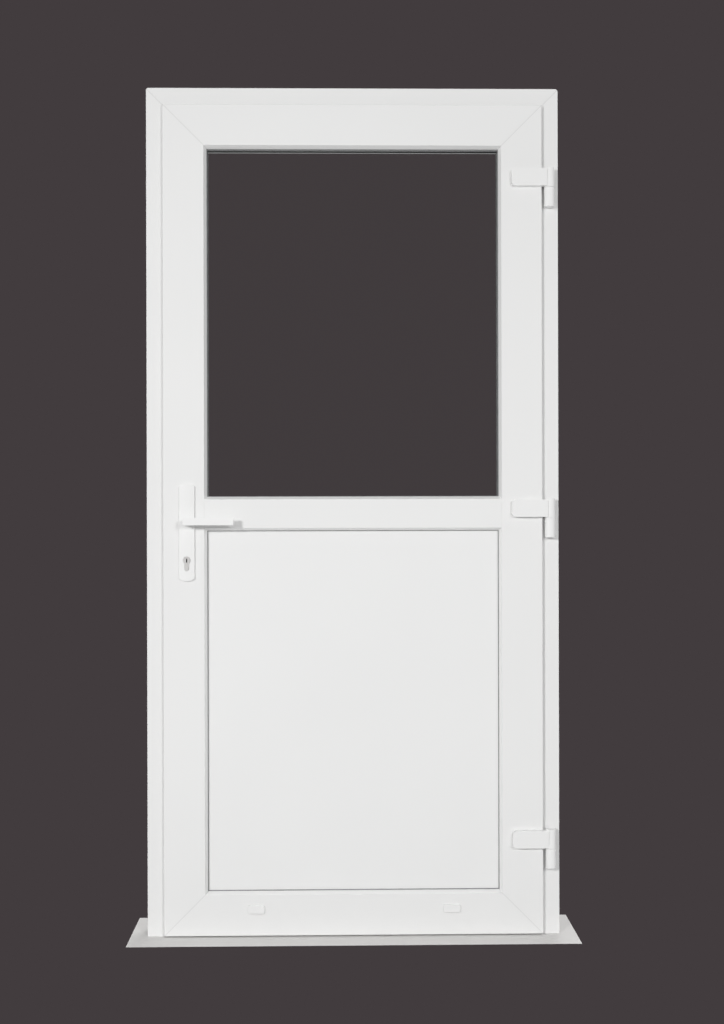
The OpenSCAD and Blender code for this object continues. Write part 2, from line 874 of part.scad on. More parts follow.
// Hinge flag: a plate on the leaf's face with a knuckle that turns on the pin
module hinge_flag(z) {
    z0 = z + hinge_gap;
    h = barrel_h - hinge_gap;
    in = cover_t + cover_fit;
    in_z = in + cover_step;
    knuckle_face = hinge_y - barrel_r;
    color(STEEL) difference() {
        union() {
            translate([hinge_x, hinge_y, z0]) cylinder(r = barrel_r, h = h);
            translate([0, leaf_y, 0]) rotate([90, 0, 0]) linear_extrude(flag_t)
                cover_outline(flag_x0 + in, hinge_x, z0 + in_z, z0 + h - in_z, cover_r - in);
            translate([leaf_w / 2 - flag_t, knuckle_face + in, z0 + in_z])
                cube([hinge_x - leaf_w / 2 + flag_t, leaf_y - knuckle_face - in, h - 2 * in_z]);
        }
        translate([hinge_x, hinge_y, z0 - eps]) cylinder(r = pin_r + pin_run, h = barrel_h - pin_cap + eps);
        hinge_screw_shanks(z, screw_clear);
        for (x = hinge_screw_x, dz = hinge_screw_z)
            rod_y([x, leaf_y - flag_t - eps, z + dz], head_r + screw_clear, head_t + eps);
    }
}

// Outline of the hinge cover from the front, with two round corners
module cover_outline(x0, x1, z0, z1, r) {
    translate([x0 + r, z0]) square([x1 - x0 - r, z1 - z0]);
    translate([x0, z0 + r]) square([r + eps, z1 - z0 - 2 * r]);
    translate([x0 + r, z0 + r]) circle(r);
    translate([x0 + r, z1 - r]) circle(r);
}

// Snap-on cover over the flag, open at the back and towards the knuckle
module hinge_cover(z) {
    z0 = z + hinge_gap + cover_step;
    z1 = z + barrel_h - cover_step;
    t = cover_t;
    color(BODY_WHITE) difference() {
        translate([0, leaf_y, 0]) rotate([90, 0, 0])
            linear_extrude(cover_d) cover_outline(flag_x0, cover_end, z0, z1, cover_r);
        translate([0, leaf_y + eps, 0]) rotate([90, 0, 0])
            linear_extrude(cover_d - t + eps)
                cover_outline(flag_x0 + t, cover_end + eps, z0 + t, z1 - t, cover_r - t);
        translate([hinge_x, hinge_y, z]) cylinder(r = barrel_r + cover_fit, h = barrel_h + eps);
    }
}

module hinge_screws() {
    color(STEEL) for (z = hinge_z, x = hinge_screw_x, dz = hinge_screw_z) {
        rod_y([x, leaf_y - flag_t + head_t, z + dz], hinge_screw_r, hinge_screw_l - head_t);
        rod_y([x, leaf_y - flag_t, z + dz], head_r, head_t);
    }
}

// Outline of the profile cylinder, run along Y from the front
module euro_profile(length, grow) {
    z_leg = cylinder_z + euro_r - euro_h + euro_leg_r;
    rod_y([lever_x, 0, cylinder_z], euro_r + grow, length);
    rod_y([lever_x, 0, z_leg], euro_leg_r + grow, length);
    translate([lever_x - euro_leg_r - grow, 0, z_leg])
        cube([2 * (euro_leg_r + grow), length, cylinder_z - z_leg]);
}

// Sheet steel box, open towards the faceplate
module lock_case() {
    y0 = lock_y - case_t / 2;
    w = case_wall;
    color(STEEL) difference() {
        translate([case_x0, y0, case_z0]) cube([case_x1 - case_x0, case_t, case_z1 - case_z0]);
        translate([case_x0 - eps, y0 + w, case_z0 + w])
            cube([case_x1 - case_x0 - w + eps, case_t - 2 * w, case_z1 - case_z0 - 2 * w]);
        rod_y([lever_x, y0 - eps, lever_z], hub_r + hub_clear, case_t + 2 * eps);
        translate([0, y0 - eps, 0]) euro_profile(case_t + 2 * eps, euro_clear);
    }
}

// Faceplate with windows for the two bolts and holes for its screws
module lock_faceplate() {
    c = case_clear;
    window_w = inside_t + 2 * c;
    y0 = lock_y - window_w / 2;
    color(NICKEL) difference() {
        translate([faceplate_x, lock_y - faceplate_w / 2, faceplate_z0])
            cube([faceplate_t, faceplate_w, faceplate_z1 - faceplate_z0]);
        translate([faceplate_x - eps, y0, latch_z - latch_h / 2 - c])
            cube([faceplate_t + 2 * eps, window_w, latch_h + 2 * c]);
        translate([faceplate_x - eps, y0, bolt_z - bolt_h / 2 - c])
            cube([faceplate_t + 2 * eps, window_w, bolt_h + 2 * c]);
        rod_x([faceplate_x - eps, lock_y, bridge_z], euro_screw_r + screw_clear, faceplate_t + 2 * eps);
        faceplate_screw_holes();
    }
}

module faceplate_screw_holes() {
    for (z = faceplate_screw_z)
        rod_x([faceplate_x - eps, lock_y, z], strike_screw_r + screw_clear, faceplate_t + 2 * eps);
}

module faceplate_screws() {
    color(STEEL) for (z = faceplate_screw_z)
        rod_x([faceplate_x, lock_y, z], strike_screw_r, faceplate_t);
}

// Double cylinder, cut away in the middle where its cam turns
module cylinder_body() {
    y0 = leaf_y - plate_t - euro_proud;
    l = leaf_d + 2 * (plate_t + euro_proud);
    color(NICKEL) difference() {
        translate([0, y0, 0]) euro_profile(l, 0);
        rod_y([lever_x, y0 - eps, cylinder_z], plug_r + plug_run, l + 2 * eps);
        translate([lever_x - cam_r, lock_y - cam_slot_w / 2, cylinder_z - cam_r - case_clear])
            cube([2 * cam_r, cam_slot_w, 2 * cam_r]);
        rod_x([lever_x - cam_r, lock_y, bridge_z], euro_screw_r + screw_clear, 2 * cam_r);
    }
}

module cylinder_screw() {
    color(STEEL) rod_x([faceplate_x, lock_y, bridge_z], euro_screw_r, lever_x + euro_leg_r - faceplate_x);
}

// One plug, from its key slot at the plate to the cam
module plug(inside_reach) {
    l = leaf_d / 2 + plate_t + euro_proud - inside_reach;
    difference() {
        rod_y([0, -leaf_d / 2 - plate_t - euro_proud, 0], plug_r, l);
        translate([-key_w / 2, -leaf_d / 2 - plate_t - euro_proud - eps, -key_h / 2])
            cube([key_w, key_d + eps, key_h]);
    }
}

module outside_plug() {
    color(NICKEL) translate([lever_x, lock_y, cylinder_z]) plug(cam_t / 2);
}

module inside_plug() {
    color(NICKEL) translate([lever_x, lock_y, cylinder_z]) mirror([0, 1, 0]) plug(cam_slot_w / 2);
}

// Cam between the plugs, with its nose down so that the cylinder can be drawn out
module lock_cam() {
    color(STEEL) translate([lever_x, lock_y, cylinder_z]) {
        rod_y([0, -cam_t / 2, 0], plug_r, cam_slot_w / 2 + cam_t / 2 - screw_clear);
        translate([-cam_w / 2, -cam_t / 2, 0]) mirror([0, 0, 1]) intersection() {
            cube([cam_w, cam_t, cam_r]);
            rod_y([cam_w / 2, -eps, 0], cam_r, cam_t + 2 * eps);
        }
    }
}

// Runs a plate or lever shape on the outside face, or mirrored through the lock on the inside face
module on_face(inside) {
    translate([lever_x, lock_y, 0]) mirror([0, inside ? 1 : 0, 0]) translate([0, -leaf_d / 2, 0]) children();
}

// Long handle plate with curved ends and a face that is domed across its width
module plate_blank() {
    end_r = (pow(plate_w / 2, 2) + pow(plate_rise, 2)) / (2 * plate_rise);
    dome_r = (pow(plate_w / 2, 2) + pow(plate_dome, 2)) / (2 * plate_dome);
    intersection() {
        translate([-plate_w / 2, -plate_t, plate_z0]) cube([plate_w, plate_t, plate_h]);
        translate([0, dome_r - plate_t, plate_z0 - eps])
            cylinder(r = dome_r, h = plate_h + 2 * eps, $fn = 96);
        union() {
            rod_y([0, -plate_t - eps, plate_z0 + end_r], end_r, plate_t + 2 * eps);
            translate([-plate_w / 2 - eps, -plate_t - eps, plate_z0 + plate_rise])
                cube([plate_w + 2 * eps, plate_t + 2 * eps, plate_h - 2 * plate_rise]);
            rod_y([0, -plate_t - eps, plate_z1 - end_r], end_r, plate_t + 2 * eps);
        }
    }
}

module plate_bores() {
    rod_y([0, -plate_t - eps, lever_z], neck_r + neck_clear, plate_t + 2 * eps);
    translate([-lever_x, -plate_t - eps, 0]) euro_profile(plate_t + 2 * eps, euro_clear);
}

// The outside plate hides its fixings: threaded posts reach into the stile from its back
module outside_plate() {
    color(BODY_WHITE) on_face(false) difference() {
        union() {
            plate_blank();
            for (z = plate_screw_z) rod_y([0, -post_root, z], post_r, post_l + post_root);
        }
        plate_bores();
        for (z = plate_screw_z) rod_y([0, -post_bore_in, z], plate_bolt_r + screw_clear, post_l + plate_t);
    }
}

module inside_plate() {
    color(BODY_WHITE) on_face(true) difference() {
        plate_blank();
        plate_bores();
        for (z = plate_screw_z) {
            rod_y([0, -plate_t - eps, z], plate_bolt_r + screw_clear, plate_t + 2 * eps);
            rod_y([0, -plate_t - eps, z], head_r + screw_clear, plate_dome + head_t + eps);
        }
    }
}

// Bolts from the inside plate into the outside plate's posts
module plate_screws() {
    head_y = -plate_t + plate_dome;
    l = leaf_d + plate_t - plate_dome - post_l / 2;
    color(STEEL) on_face(true) for (z = plate_screw_z) {
        rod_y([0, head_y, z], head_r, head_t);
        rod_y([0, head_y, z], plate_bolt_r, l);
    }
}

// Lever with a round neck and a flat bar that has a round heel and a square tip
module lever() {
    bar_y = -plate_t - finger_gap - lever_t;
    h = lever_h / 2;
    hole_w = spindle_w + 2 * spindle_fit;
    translate([0, 0, lever_z]) difference() {
        union() {
            rod_y([0, bar_y + lever_t / 2, 0], neck_r, finger_gap + plate_t + lever_t / 2);
            rod_y([0, -plate_t - neck_clear - collar_t, 0], collar_r, collar_t);
            translate([-lever_back + lever_round, bar_y, -h])
                cube([lever_l + lever_back - lever_round, lever_t, lever_h]);
            translate([-lever_back, bar_y, -h + lever_round])
                cube([lever_round, lever_t, lever_h - 2 * lever_round]);
            for (z = [-1, 1])
                rod_y([-lever_back + lever_round, bar_y, z * (h - lever_round)], lever_round, lever_t);
        }
        translate([-hole_w / 2, -plate_t - socket_d, -hole_w / 2])
            cube([hole_w, plate_t + socket_d + eps, hole_w]);
    }
}

module outside_lever() {
    color(BODY_WHITE) on_face(false) lever();
}

module inside_lever() {
    color(BODY_WHITE) on_face(true) lever();
}

module spindle() {
    color(STEEL) translate([lever_x - spindle_w / 2, lock_y - spindle_l / 2, lever_z - spindle_w / 2])
        cube([spindle_w, spindle_l, spindle_w]);
}

// Follower on the spindle: its upright arm draws the latch back
module follower() {
    hole_w = spindle_w + 2 * spindle_fit;
    color(STEEL) translate([lever_x, lock_y, lever_z]) difference() {
        union() {
            rod_y([0, -inside_t / 2, 0], follower_r, inside_t);
            rod_y([0, -hub_l / 2, 0], hub_r, hub_l);
            translate([-arm_w / 2, -inside_t / 2, 0]) cube([arm_w, inside_t, arm_r]);
        }
        translate([-hole_w / 2, -hub_l, -hole_w / 2]) cube([hole_w, 2 * hub_l, hole_w]);
    }
}

// Sprung latch: a bevelled nose towards the inside, and a tail that hooks behind the follower's arm
module latch_bolt() {
    nose = latch_throw - latch_land;
    tail_x = lever_x + arm_w / 2 + arm_gap;
    z0 = latch_z - latch_h / 2;
    stop_z = lever_z + follower_r + case_clear;
    y0 = lock_y - inside_t / 2;
    color(NICKEL) {
        difference() {
            translate([latch_tip, y0, z0]) cube([tail_x + latch_tail_t - latch_tip, inside_t, latch_h]);
            translate([latch_tip, y0 + latch_land, z0 - eps]) linear_extrude(latch_h + 2 * eps)
                polygon([
                    [-eps, 0], [0, 0], [nose, inside_t - latch_land], [nose, inside_t], [-eps, inside_t]
                ]);
        }
        translate([tail_x, y0, stop_z]) cube([latch_tail_t, inside_t, latch_z - stop_z]);
    }
}

// Dead bolt, drawn back at rest, with a thin tail beside the cam
module dead_bolt() {
    y0 = lock_y - inside_t / 2;
    tail_z = cylinder_z + euro_r + strike_play;
    color(NICKEL) {
        translate([faceplate_x, y0, bolt_z - bolt_h / 2]) cube([bolt_l, inside_t, bolt_h]);
        translate([faceplate_x + bolt_l - bolt_tail_w, y0, tail_z])
            cube([bolt_tail_w, bolt_tail_t, bolt_z - tail_z]);
    }
}

lock_jamb();
hinge_jamb();
frame_head();
threshold();
threshold_end_blocks();
frame_steels();
frame_seal();
strike_plate();
strike_screws();
hinge_pins();
for (i = [0:2]) {
    hinge_barrel(hinge_z[i]);
    hinge_flag(hinge_z[i]);
    hinge_cover(hinge_z[i]);
}
hinge_screws();
lock_stile();
hinge_stile();
top_rail();
bottom_rail();
transom();
leaf_steels();
leaf_seal();
outer_glass();
inner_glass();
glass_spacer();
glass_edge_seal();
gasket(glass_z0, glass_z1, unit_y - gasket_t);  // glass_outer_gasket
gasket(glass_z0, glass_z1, unit_y + unit_t);  // glass_inner_gasket
gasket(panel_z0, panel_z1, unit_y - gasket_t);  // panel_outer_gasket
gasket(panel_z0, panel_z1, unit_y + unit_t);  // panel_inner_gasket
panel_skins();
panel_core();
side_beads(glass_z0, glass_z1);  // glass_side_beads
cross_beads(glass_z0, glass_z1);  // glass_cross_beads
side_beads(panel_z0, panel_z1);  // panel_side_beads
cross_beads(panel_z0, panel_z1);  // panel_cross_beads
setting_blocks();
drain_caps();
lock_case();
lock_faceplate();
faceplate_screws();
cylinder_body();
cylinder_screw();
outside_plate();
inside_plate();
plate_screws();
outside_lever();
inside_lever();
spindle();
follower();
latch_bolt();
dead_bolt();
outside_plug();
lock_cam();
inside_plug();
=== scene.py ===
import json
import math

import bmesh
import bpy
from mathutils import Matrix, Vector


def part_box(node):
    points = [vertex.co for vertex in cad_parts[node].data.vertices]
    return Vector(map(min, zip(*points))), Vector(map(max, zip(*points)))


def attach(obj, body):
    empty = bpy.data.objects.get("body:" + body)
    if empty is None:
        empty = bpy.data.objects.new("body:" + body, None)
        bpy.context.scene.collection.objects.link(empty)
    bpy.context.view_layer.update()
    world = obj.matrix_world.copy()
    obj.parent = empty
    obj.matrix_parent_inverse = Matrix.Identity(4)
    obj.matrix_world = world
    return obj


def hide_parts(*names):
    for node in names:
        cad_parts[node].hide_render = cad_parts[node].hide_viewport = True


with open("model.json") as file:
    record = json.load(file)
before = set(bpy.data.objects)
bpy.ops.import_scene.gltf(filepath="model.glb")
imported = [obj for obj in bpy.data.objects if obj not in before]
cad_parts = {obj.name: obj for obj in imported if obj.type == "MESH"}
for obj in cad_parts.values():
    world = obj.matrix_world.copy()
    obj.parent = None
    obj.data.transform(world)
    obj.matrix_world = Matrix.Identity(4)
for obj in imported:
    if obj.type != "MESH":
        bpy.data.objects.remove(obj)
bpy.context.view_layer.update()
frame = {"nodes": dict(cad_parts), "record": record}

bl_info = {
    "name": "Glazed plastic door",
    "version": (1, 0, 0),
    "blender": (4, 5, 0),
    "location": "3D View > Sidebar > Door",
    "description": "Finishes a white plastic side door with its frame, hinges, handles and lock",
    "category": "Object",
}

NODES = frame["nodes"]
BODY_OF = {
    node: body
    for body, nodes in frame["record"]["behaviour"]["bodies"].items()
    for node in nodes
}
MM = 0.001
QUARTER = math.pi / 2

SIDE_BEADS = ("glass_side_beads", "panel_side_beads")
CROSS_BEADS = ("glass_cross_beads", "panel_cross_beads")
GASKETS = ("glass_outer_gasket", "glass_inner_gasket", "panel_outer_gasket", "panel_inner_gasket")
HINGES = ("bottom", "middle", "top")
# Each screw node: the axis it lies along, the way its head faces, head height, shank radius
SCREWS = {
    "strike_screws": (0, 1, 2.6 * MM, 2.2 * MM),
    "faceplate_screws": (0, -1, 1.2 * MM, 1.5 * MM),
    "cylinder_screw": (0, -1, 2.0 * MM, 2.2 * MM),
    "hinge_screws": (1, -1, 2.6 * MM, 2.5 * MM),
    "plate_screws": (1, 1, 2.6 * MM, 2.5 * MM),
}
# The turn that brings a screw head from facing up to facing along an axis, one way or the other
HEAD_TURNS = {
    (0, 1): (0.0, QUARTER, 0.0),
    (0, -1): (0.0, -QUARTER, 0.0),
    (1, 1): (-QUARTER, 0.0, 0.0),
    (1, -1): (QUARTER, 0.0, 0.0),
}

# Cells of each finish's grain in a metre along X, Y and Z; its lines run where the cells are fewest
GRAIN = {
    "upright": (900.0, 900.0, 4.0),
    "across": (4.0, 900.0, 900.0),
    "panel": (260.0, 260.0, 20.0),
    "moulding": (300.0, 300.0, 300.0),
    "spacer": (30.0, 900.0, 30.0),
    "threshold": (5.0, 1200.0, 1200.0),
    "pin": (900.0, 900.0, 60.0),
    "spindle": (900.0, 30.0, 900.0),
    "cylinder": (1500.0, 40.0, 1500.0),
    "cam": (900.0, 60.0, 900.0),
    "lock": (1200.0, 1200.0, 20.0),
    "strike": (1000.0, 1000.0, 30.0),
    "screw": (700.0, 700.0, 700.0),
}
# Distance from a weld's line where its painted groove shade starts to fade and where it has gone
WELD_SHADE_LINE = (0.9 * MM, 1.5 * MM)
# Depth below a plug's end where the painted shade in its keyway starts and where it is full
KEYWAY_SHADE = (0.4 * MM, 0.8 * MM)

# Points this close are one point, and points this close to a seat lie in it, in metres
SAME_POINT = 2e-6
IN_SEAT = 1e-5
# Edges flatter than level are dissolved, those steeper than steep are rounded
LEVEL = math.radians(0.5)
STEEP = math.radians(28.0)
# Edges that are steeper than this stay sharp in the shading of rounded pieces and of ribs
CRISP = math.radians(32.0)
CRISP_RIB = math.radians(40.0)

# Each softbox: where it stands, the point it is turned to and its side, in metres
SOFTBOXES = {
    "front": ((0.0, -8.8, 2.4), (0.0, 0.0, -6.0), 1.2),
    "key": ((-1.95, -4.43, 1.9), (4.1, 0.0, -3.2), 0.6),
    "fill": ((1.5, -4.43, 1.9), (-4.45, 0.0, -3.2), 0.6),
    "back": ((0.9, 3.0, 2.5), (0.0, 0.0, 0.8), 2.0),
}
# How far a direction points up, aside or inward where a glow starts and where it is full
GLOW_ABOVE = (0.4, 0.8)
GLOW_BESIDE = (0.15, 0.6)
GLOW_INSIDE = (0.2, 0.9)
# How far a direction points up where the added light from the floor is full and where it has gone
LIGHT_BELOW = (-0.6, 0.2)
WHITE = (1.0, 1.0, 1.0, 1.0)


def length(label, text, default):
    """A size in metres that a user can set."""
    return bpy.props.FloatProperty(
        name=label, description=text, default=default, min=0.0, unit="LENGTH", precision=5
    )


def colour(label, text, default):
    """A colour that a user can set."""
    return bpy.props.FloatVectorProperty(
        name=label, description=text, default=default, size=3, min=0.0, max=1.0, subtype="COLOR"
    )


def amount(label, text, default):
    """A plain number that a user can set."""
    return bpy.props.FloatProperty(name=label, description=text, default=default, min=0.0)


def power(label, text, default):
    """A lamp's power that a user can set."""
    return bpy.props.FloatProperty(name=label, description=text, default=default, min=0.0, unit="POWER")


def optics(label, text, default):
    """A camera's measure in millimetres that a user can set."""
    return bpy.props.FloatProperty(name=label, description=text, default=default, min=1.0, unit="CAMERA")


class DoorColours(bpy.types.PropertyGroup):
    """Colours of the door's finishes and of the studio"""

    plastic: colour("Plastic", "White of the welded profiles and beads", (0.84, 0.84, 0.835))
    panel: colour("Panel", "White of the infill panel", (0.85, 0.85, 0.846))
    coating: colour("Coating", "White powder coat on handles and hinges", (0.86, 0.86, 0.855))
    cover: colour("Covers", "White of the moulded hinge covers and drain caps", (0.85, 0.85, 0.845))
    rubber: colour("Rubber", "Dark grey of the weather seals", (0.075, 0.075, 0.078))
    gasket: colour("Gaskets", "Grey of the glazing gaskets", (0.26, 0.26, 0.265))
    galvanised: colour("Galvanised steel", "Zinc coat of the reinforcement", (0.55, 0.57, 0.59))
    zinc: colour("Bright zinc", "Plated screws, pins and lock parts", (0.60, 0.61, 0.62))
    nickel: colour("Nickel", "Satin nickel of cylinder, faceplate and bolts", (0.80, 0.79, 0.775))
    aluminium: colour("Aluminium", "Threshold profile", (0.62, 0.63, 0.64))
    # Paler than bare aluminium: part of the spacer's tone is painted sheen
    spacer: colour("Spacer", "Spacer bar between the panes", (0.80, 0.80, 0.80))
    pane: colour("Glass", "Tint of the float glass", (0.98, 0.992, 0.987))
    block: colour("Blocks", "Setting blocks", (0.05, 0.15, 0.36))
    foam: colour("Foam", "Core of the infill panel", (0.52, 0.60, 0.68))
    backdrop: colour("Backdrop", "Warm dark grey behind the door", (0.0545, 0.0452, 0.0482))
    floor: colour("Floor", "Pale studio floor", (0.70, 0.69, 0.68))


class DoorEdges(bpy.types.PropertyGroup):
    """Rounding of edges and sizes of small details"""

    lever: length("Lever edge", "Rounding of the lever edges", 1.2 * MM)
    plate: length("Plate edge", "Rounding of the handle plates", 1.4 * MM)
    barrel: length("Barrel edge", "Rounding of the hinge barrels and flags", 1.2 * MM)
    cover: length("Cover edge", "Rounding of the hinge covers", 1.6 * MM)
    cap: length("Cap edge", "Rounding of the drain caps", 1.0 * MM)
    gasket: length("Gasket edge", "Rounding of the glazing gaskets", 0.7 * MM)
    metal: length("Metal edge", "Rounding of bolts, faceplate, strike plate and cylinder", 0.35 * MM)
    drive_width: length("Drive width", "Width of the cross slots in the screw heads", 0.9 * MM)
    drive_depth: length("Drive depth", "Depth of the cross slots", 0.8 * MM)
    rib_pitch: length("Tread rib pitch", "Distance between the threshold's ribs", 4.0 * MM)
    rib_radius: length("Tread rib radius", "Radius of the threshold's ribs", 0.9 * MM)
    vent_pitch: length("Vent pitch", "Distance between the spacer bar's vents", 12.0 * MM)
    vent_radius: length("Vent radius", "Radius of the spacer bar's vents", 0.6 * MM)


class DoorStudio(bpy.types.PropertyGroup):
    """Light, camera and floor"""

    ambient: amount("Ambient", "Soft light from all round", 0.315)
    from_below: amount("From below", "Share of the soft light that comes up from the floor", 1.35)
    from_sides: amount("From the sides", "Share of the soft light in the door's plane", 2.1)
    from_front: amount("From the front", "Share of the soft light square to the door", 0.45)
    ceiling: amount("Ceiling", "Soft glow from above that only glossy surfaces show", 0.7)
    sides: amount("Sides", "Soft glow from both sides that only glossy surfaces show", 0.6)
    room: amount("Room", "Soft glow from the inside that only glossy surfaces show", 0.35)
    front_power: power("Front", "Softbox above the camera", 60.0)
    key_power: power("Key", "Left softbox", 122.0)
    fill_power: power("Fill", "Right softbox", 66.0)
    back_power: power("Back", "Softbox on the inside", 70.0)
    camera_place: bpy.props.FloatVectorProperty(
        name="Camera", description="Where the camera stands", subtype="TRANSLATION",
        default=(-0.0432, -3.435, 1.0065)
    )
    camera_turn: bpy.props.FloatVectorProperty(
        name="Camera turn", description="Which way the camera looks", subtype="EULER",
        default=(math.radians(90.0), math.radians(0.13), math.radians(-1.08))
    )
    camera_lens: optics("Lens", "Focal length", 50.2)
    camera_sensor: optics("Sensor", "Width of the sensor", 36.0)
    floor_width: length("Floor width", "Size of the floor across the door", 1.06)
    floor_depth: length("Floor depth", "Size of the floor through the door", 0.24)


class Wire:
    """A node socket, with arithmetic that adds Math nodes."""

    def __init__(self, sheet, socket):
        self.sheet = sheet
        self.socket = socket

    def _math(self, operation, first, second):
        return self.sheet.add("ShaderNodeMath", {"operation": operation}, {0: first, 1: second})

    def __add__(self, other):
        return self._math("ADD", self, other)

    def __sub__(self, other):
        return self._math("SUBTRACT", self, other)

    def __rsub__(self, other):
        return self._math("SUBTRACT", other, self)

    def __mul__(self, other):
        return self._math("MULTIPLY", self, other)

    def __abs__(self):
        return self._math("ABSOLUTE", self, 0.0)

    def least(self, other):
        """The smaller of two values."""
        return self._math("MINIMUM", self, other)

    __radd__ = __add__
    __rmul__ = __mul__


class Sheet:
    """A node tree that one method fills; the other methods are short forms of it."""

    def __init__(self, tree):
        self.tree = tree

    def add(self, kind, settings=None, inputs=None, out=0):
        """Adds a node by its type, its settings and the values or wires of its sockets."""
        node = self.tree.nodes.new(kind)
        for name, value in (settings or {}).items():
            setattr(node, name, value)
        for key, value in (inputs or {}).items():
            for part in value if isinstance(value, list) else [value]:
                if isinstance(part, Wire):
                    self.tree.links.new(part.socket, node.inputs[key])
                else:
                    node.inputs[key].default_value = part
        return Wire(self, node.outputs[out]) if node.outputs else node

    def blend(self, share, first, second):
        """A mix of two colours; a Mix node has its colour sockets at these places."""
        return self.add("ShaderNodeMix", {"data_type": "RGBA"}, {0: share, 6: first, 7: second}, 2)

    def shades(self, share, tint, dark, pale):
        """A tint that goes from a darker to a paler shade of itself."""
        return self.blend(share, rgba(tint, dark), rgba(tint, pale))

    def ramp(self, value, span, start, end):
        """A value that goes evenly from start to end over a span, and stays so on either side."""
        return self.add("ShaderNodeMapRange", inputs={0: value, 1: span[0], 2: span[1], 3: start, 4: end})

    def spot(self):
        """The piece's own coordinates, in metres."""
        return self.add("ShaderNodeTexCoord", out="Object")

    def along(self, axis):
        """One of the piece's own coordinates."""
        return self.add("ShaderNodeSeparateXYZ", inputs={"Vector": self.spot()}, out=axis)


def rgba(values, shade=1.0):
    """A colour with its fourth value, made darker or paler by a shade."""
    return (values[0] * shade, values[1] * shade, values[2] * shade, 1.0)


def new_sheet(name):
    """A material with an empty node tree."""
    material = bpy.data.materials.new(name)
    material.use_nodes = True
    material.node_tree.nodes.clear()
    return material, Sheet(material.node_tree)


def grain(sheet, per_metre=1.0, lay=(1.0, 1.0, 1.0), detail=2.0):
    """Noise with so many cells a metre on the piece's own place, times the lay along each axis."""
    place = sheet.add("ShaderNodeMapping", inputs={"Vector": sheet.spot(), "Scale": lay})
    return sheet.add(
        "ShaderNodeTexNoise", inputs={"Vector": place, "Scale": per_metre, "Detail": detail}, out="Fac"
    )


def close(sheet, base, rough, height=None, relief=0.0, **fixed):
    """Principled shader and output; fixed values go on the shader's own sockets."""
    inputs = {"Base Color": base, "Roughness": rough}
    if height is not None:
        inputs["Normal"] = sheet.add(
            "ShaderNodeBump", inputs={"Strength": 1.0, "Distance": relief, "Height": height}, out="Normal"
        )
    inputs.update({name.replace("_", " "): value for name, value in fixed.items()})
    shader = sheet.add("ShaderNodeBsdfPrincipled", inputs=inputs)
    sheet.add("ShaderNodeOutputMaterial", inputs={"Surface": shader})


def weld_groove_shade(sheet, low, high, both_ends):
    """Painted shade of the weld grooves: one along the mitres that run in from the upper or all corners of a
    box, and nought elsewhere.
    """
    x, z = sheet.along("X"), sheet.along("Z")
    inward = (high.x - low.x) / 2 - abs(x - (low.x + high.x) / 2)
    away = abs(inward - (high.z - z))
    if both_ends:
        away = away.least(abs(inward - (z - low.z)))
    return sheet.ramp(away, WELD_SHADE_LINE, 1.0, 0.0)


def white_plastic(name, tint, lay, relief=0.02 * MM, welded=None):
    """White plastic: die lines along the run, a fine peel, a slow change of tone, and painted shade as grey
    in the weld grooves.
    """
    material, sheet = new_sheet(name)
    lines = grain(sheet, lay=lay, detail=3.0)
    peel = grain(sheet, per_metre=700.0)
    base = sheet.shades(grain(sheet, per_metre=2.5), tint, 0.975, 1.02)
    if welded:
        # Painted shade: the weld grooves are greyed in the colour
        base = sheet.blend(0.2 * weld_groove_shade(sheet, *welded), base, rgba(tint, 0.4))
    rough = 0.24 + 0.1 * lines + 0.05 * peel
    close(sheet, base, rough, height=0.7 * lines + 0.3 * peel, relief=relief, IOR=1.53)
    return material


def powder_coat(name, tint):
    """White powder coat with the small waves of a sprayed film."""
    material, sheet = new_sheet(name)
    waves = grain(sheet, per_metre=420.0, detail=1.0)
    specks = grain(sheet, per_metre=2600.0)
    base = sheet.shades(grain(sheet, per_metre=9.0), tint, 0.98, 1.015)
    rough = 0.34 + 0.1 * specks
    close(sheet, base, rough, height=0.8 * waves + 0.2 * specks, relief=0.05 * MM, IOR=1.5)
    return material


def soft_rubber(name, tint):
    """Matt grey rubber with a dusty bloom."""
    material, sheet = new_sheet(name)
    bloom = grain(sheet, per_metre=60.0, detail=4.0)
    pores = grain(sheet, per_metre=3000.0)
    base = sheet.shades(bloom, tint, 0.8, 1.35)
    close(sheet, base, 0.62 + 0.2 * bloom, height=pores, relief=0.03 * MM)
    return material


def spangled_zinc(name, tint):
    """Hot-dip zinc, with its crystal patches."""
    material, sheet = new_sheet(name)
    patches = sheet.add("ShaderNodeTexVoronoi", inputs={"Vector": sheet.spot(), "Scale": 160.0}, out="Color")
    patch = sheet.add("ShaderNodeSeparateColor", inputs={"Color": patches})
    dross = grain(sheet, per_metre=900.0)
    base = sheet.shades(patch, tint, 0.8, 1.12)
    close(sheet, base, 0.3 + 0.22 * patch, height=dross, relief=0.02 * MM, Metallic=1.0)
    return material


def keyway_painted_shade(sheet, ends):
    """Painted shade in a keyway: one inside it, and nought on the two end faces of its plug."""
    y = sheet.along("Y")
    depth = (y - ends[0]).least(ends[1] - y)
    return sheet.ramp(depth, KEYWAY_SHADE, 0.0, 1.0)


def brushed_metal(name, tint, lay, rough=0.26, metallic=1.0, ends=None):
    """Satin metal with fine strokes along one axis; a plug between its ends has painted shade inside its
    keyway.
    """
    material, sheet = new_sheet(name)
    strokes = grain(sheet, lay=lay, detail=4.0)
    smudge = grain(sheet, per_metre=45.0, detail=3.0)
    base = sheet.shades(strokes, tint, 0.86, 1.1)
    if ends:
        # Painted shade: the keyway goes nearly black inside
        base = sheet.blend(keyway_painted_shade(sheet, ends), base, rgba(tint, 0.03))
    rough = rough + 0.14 * strokes + 0.06 * smudge
    close(sheet, base, rough, height=strokes, relief=0.02 * MM, Metallic=metallic)
    return material


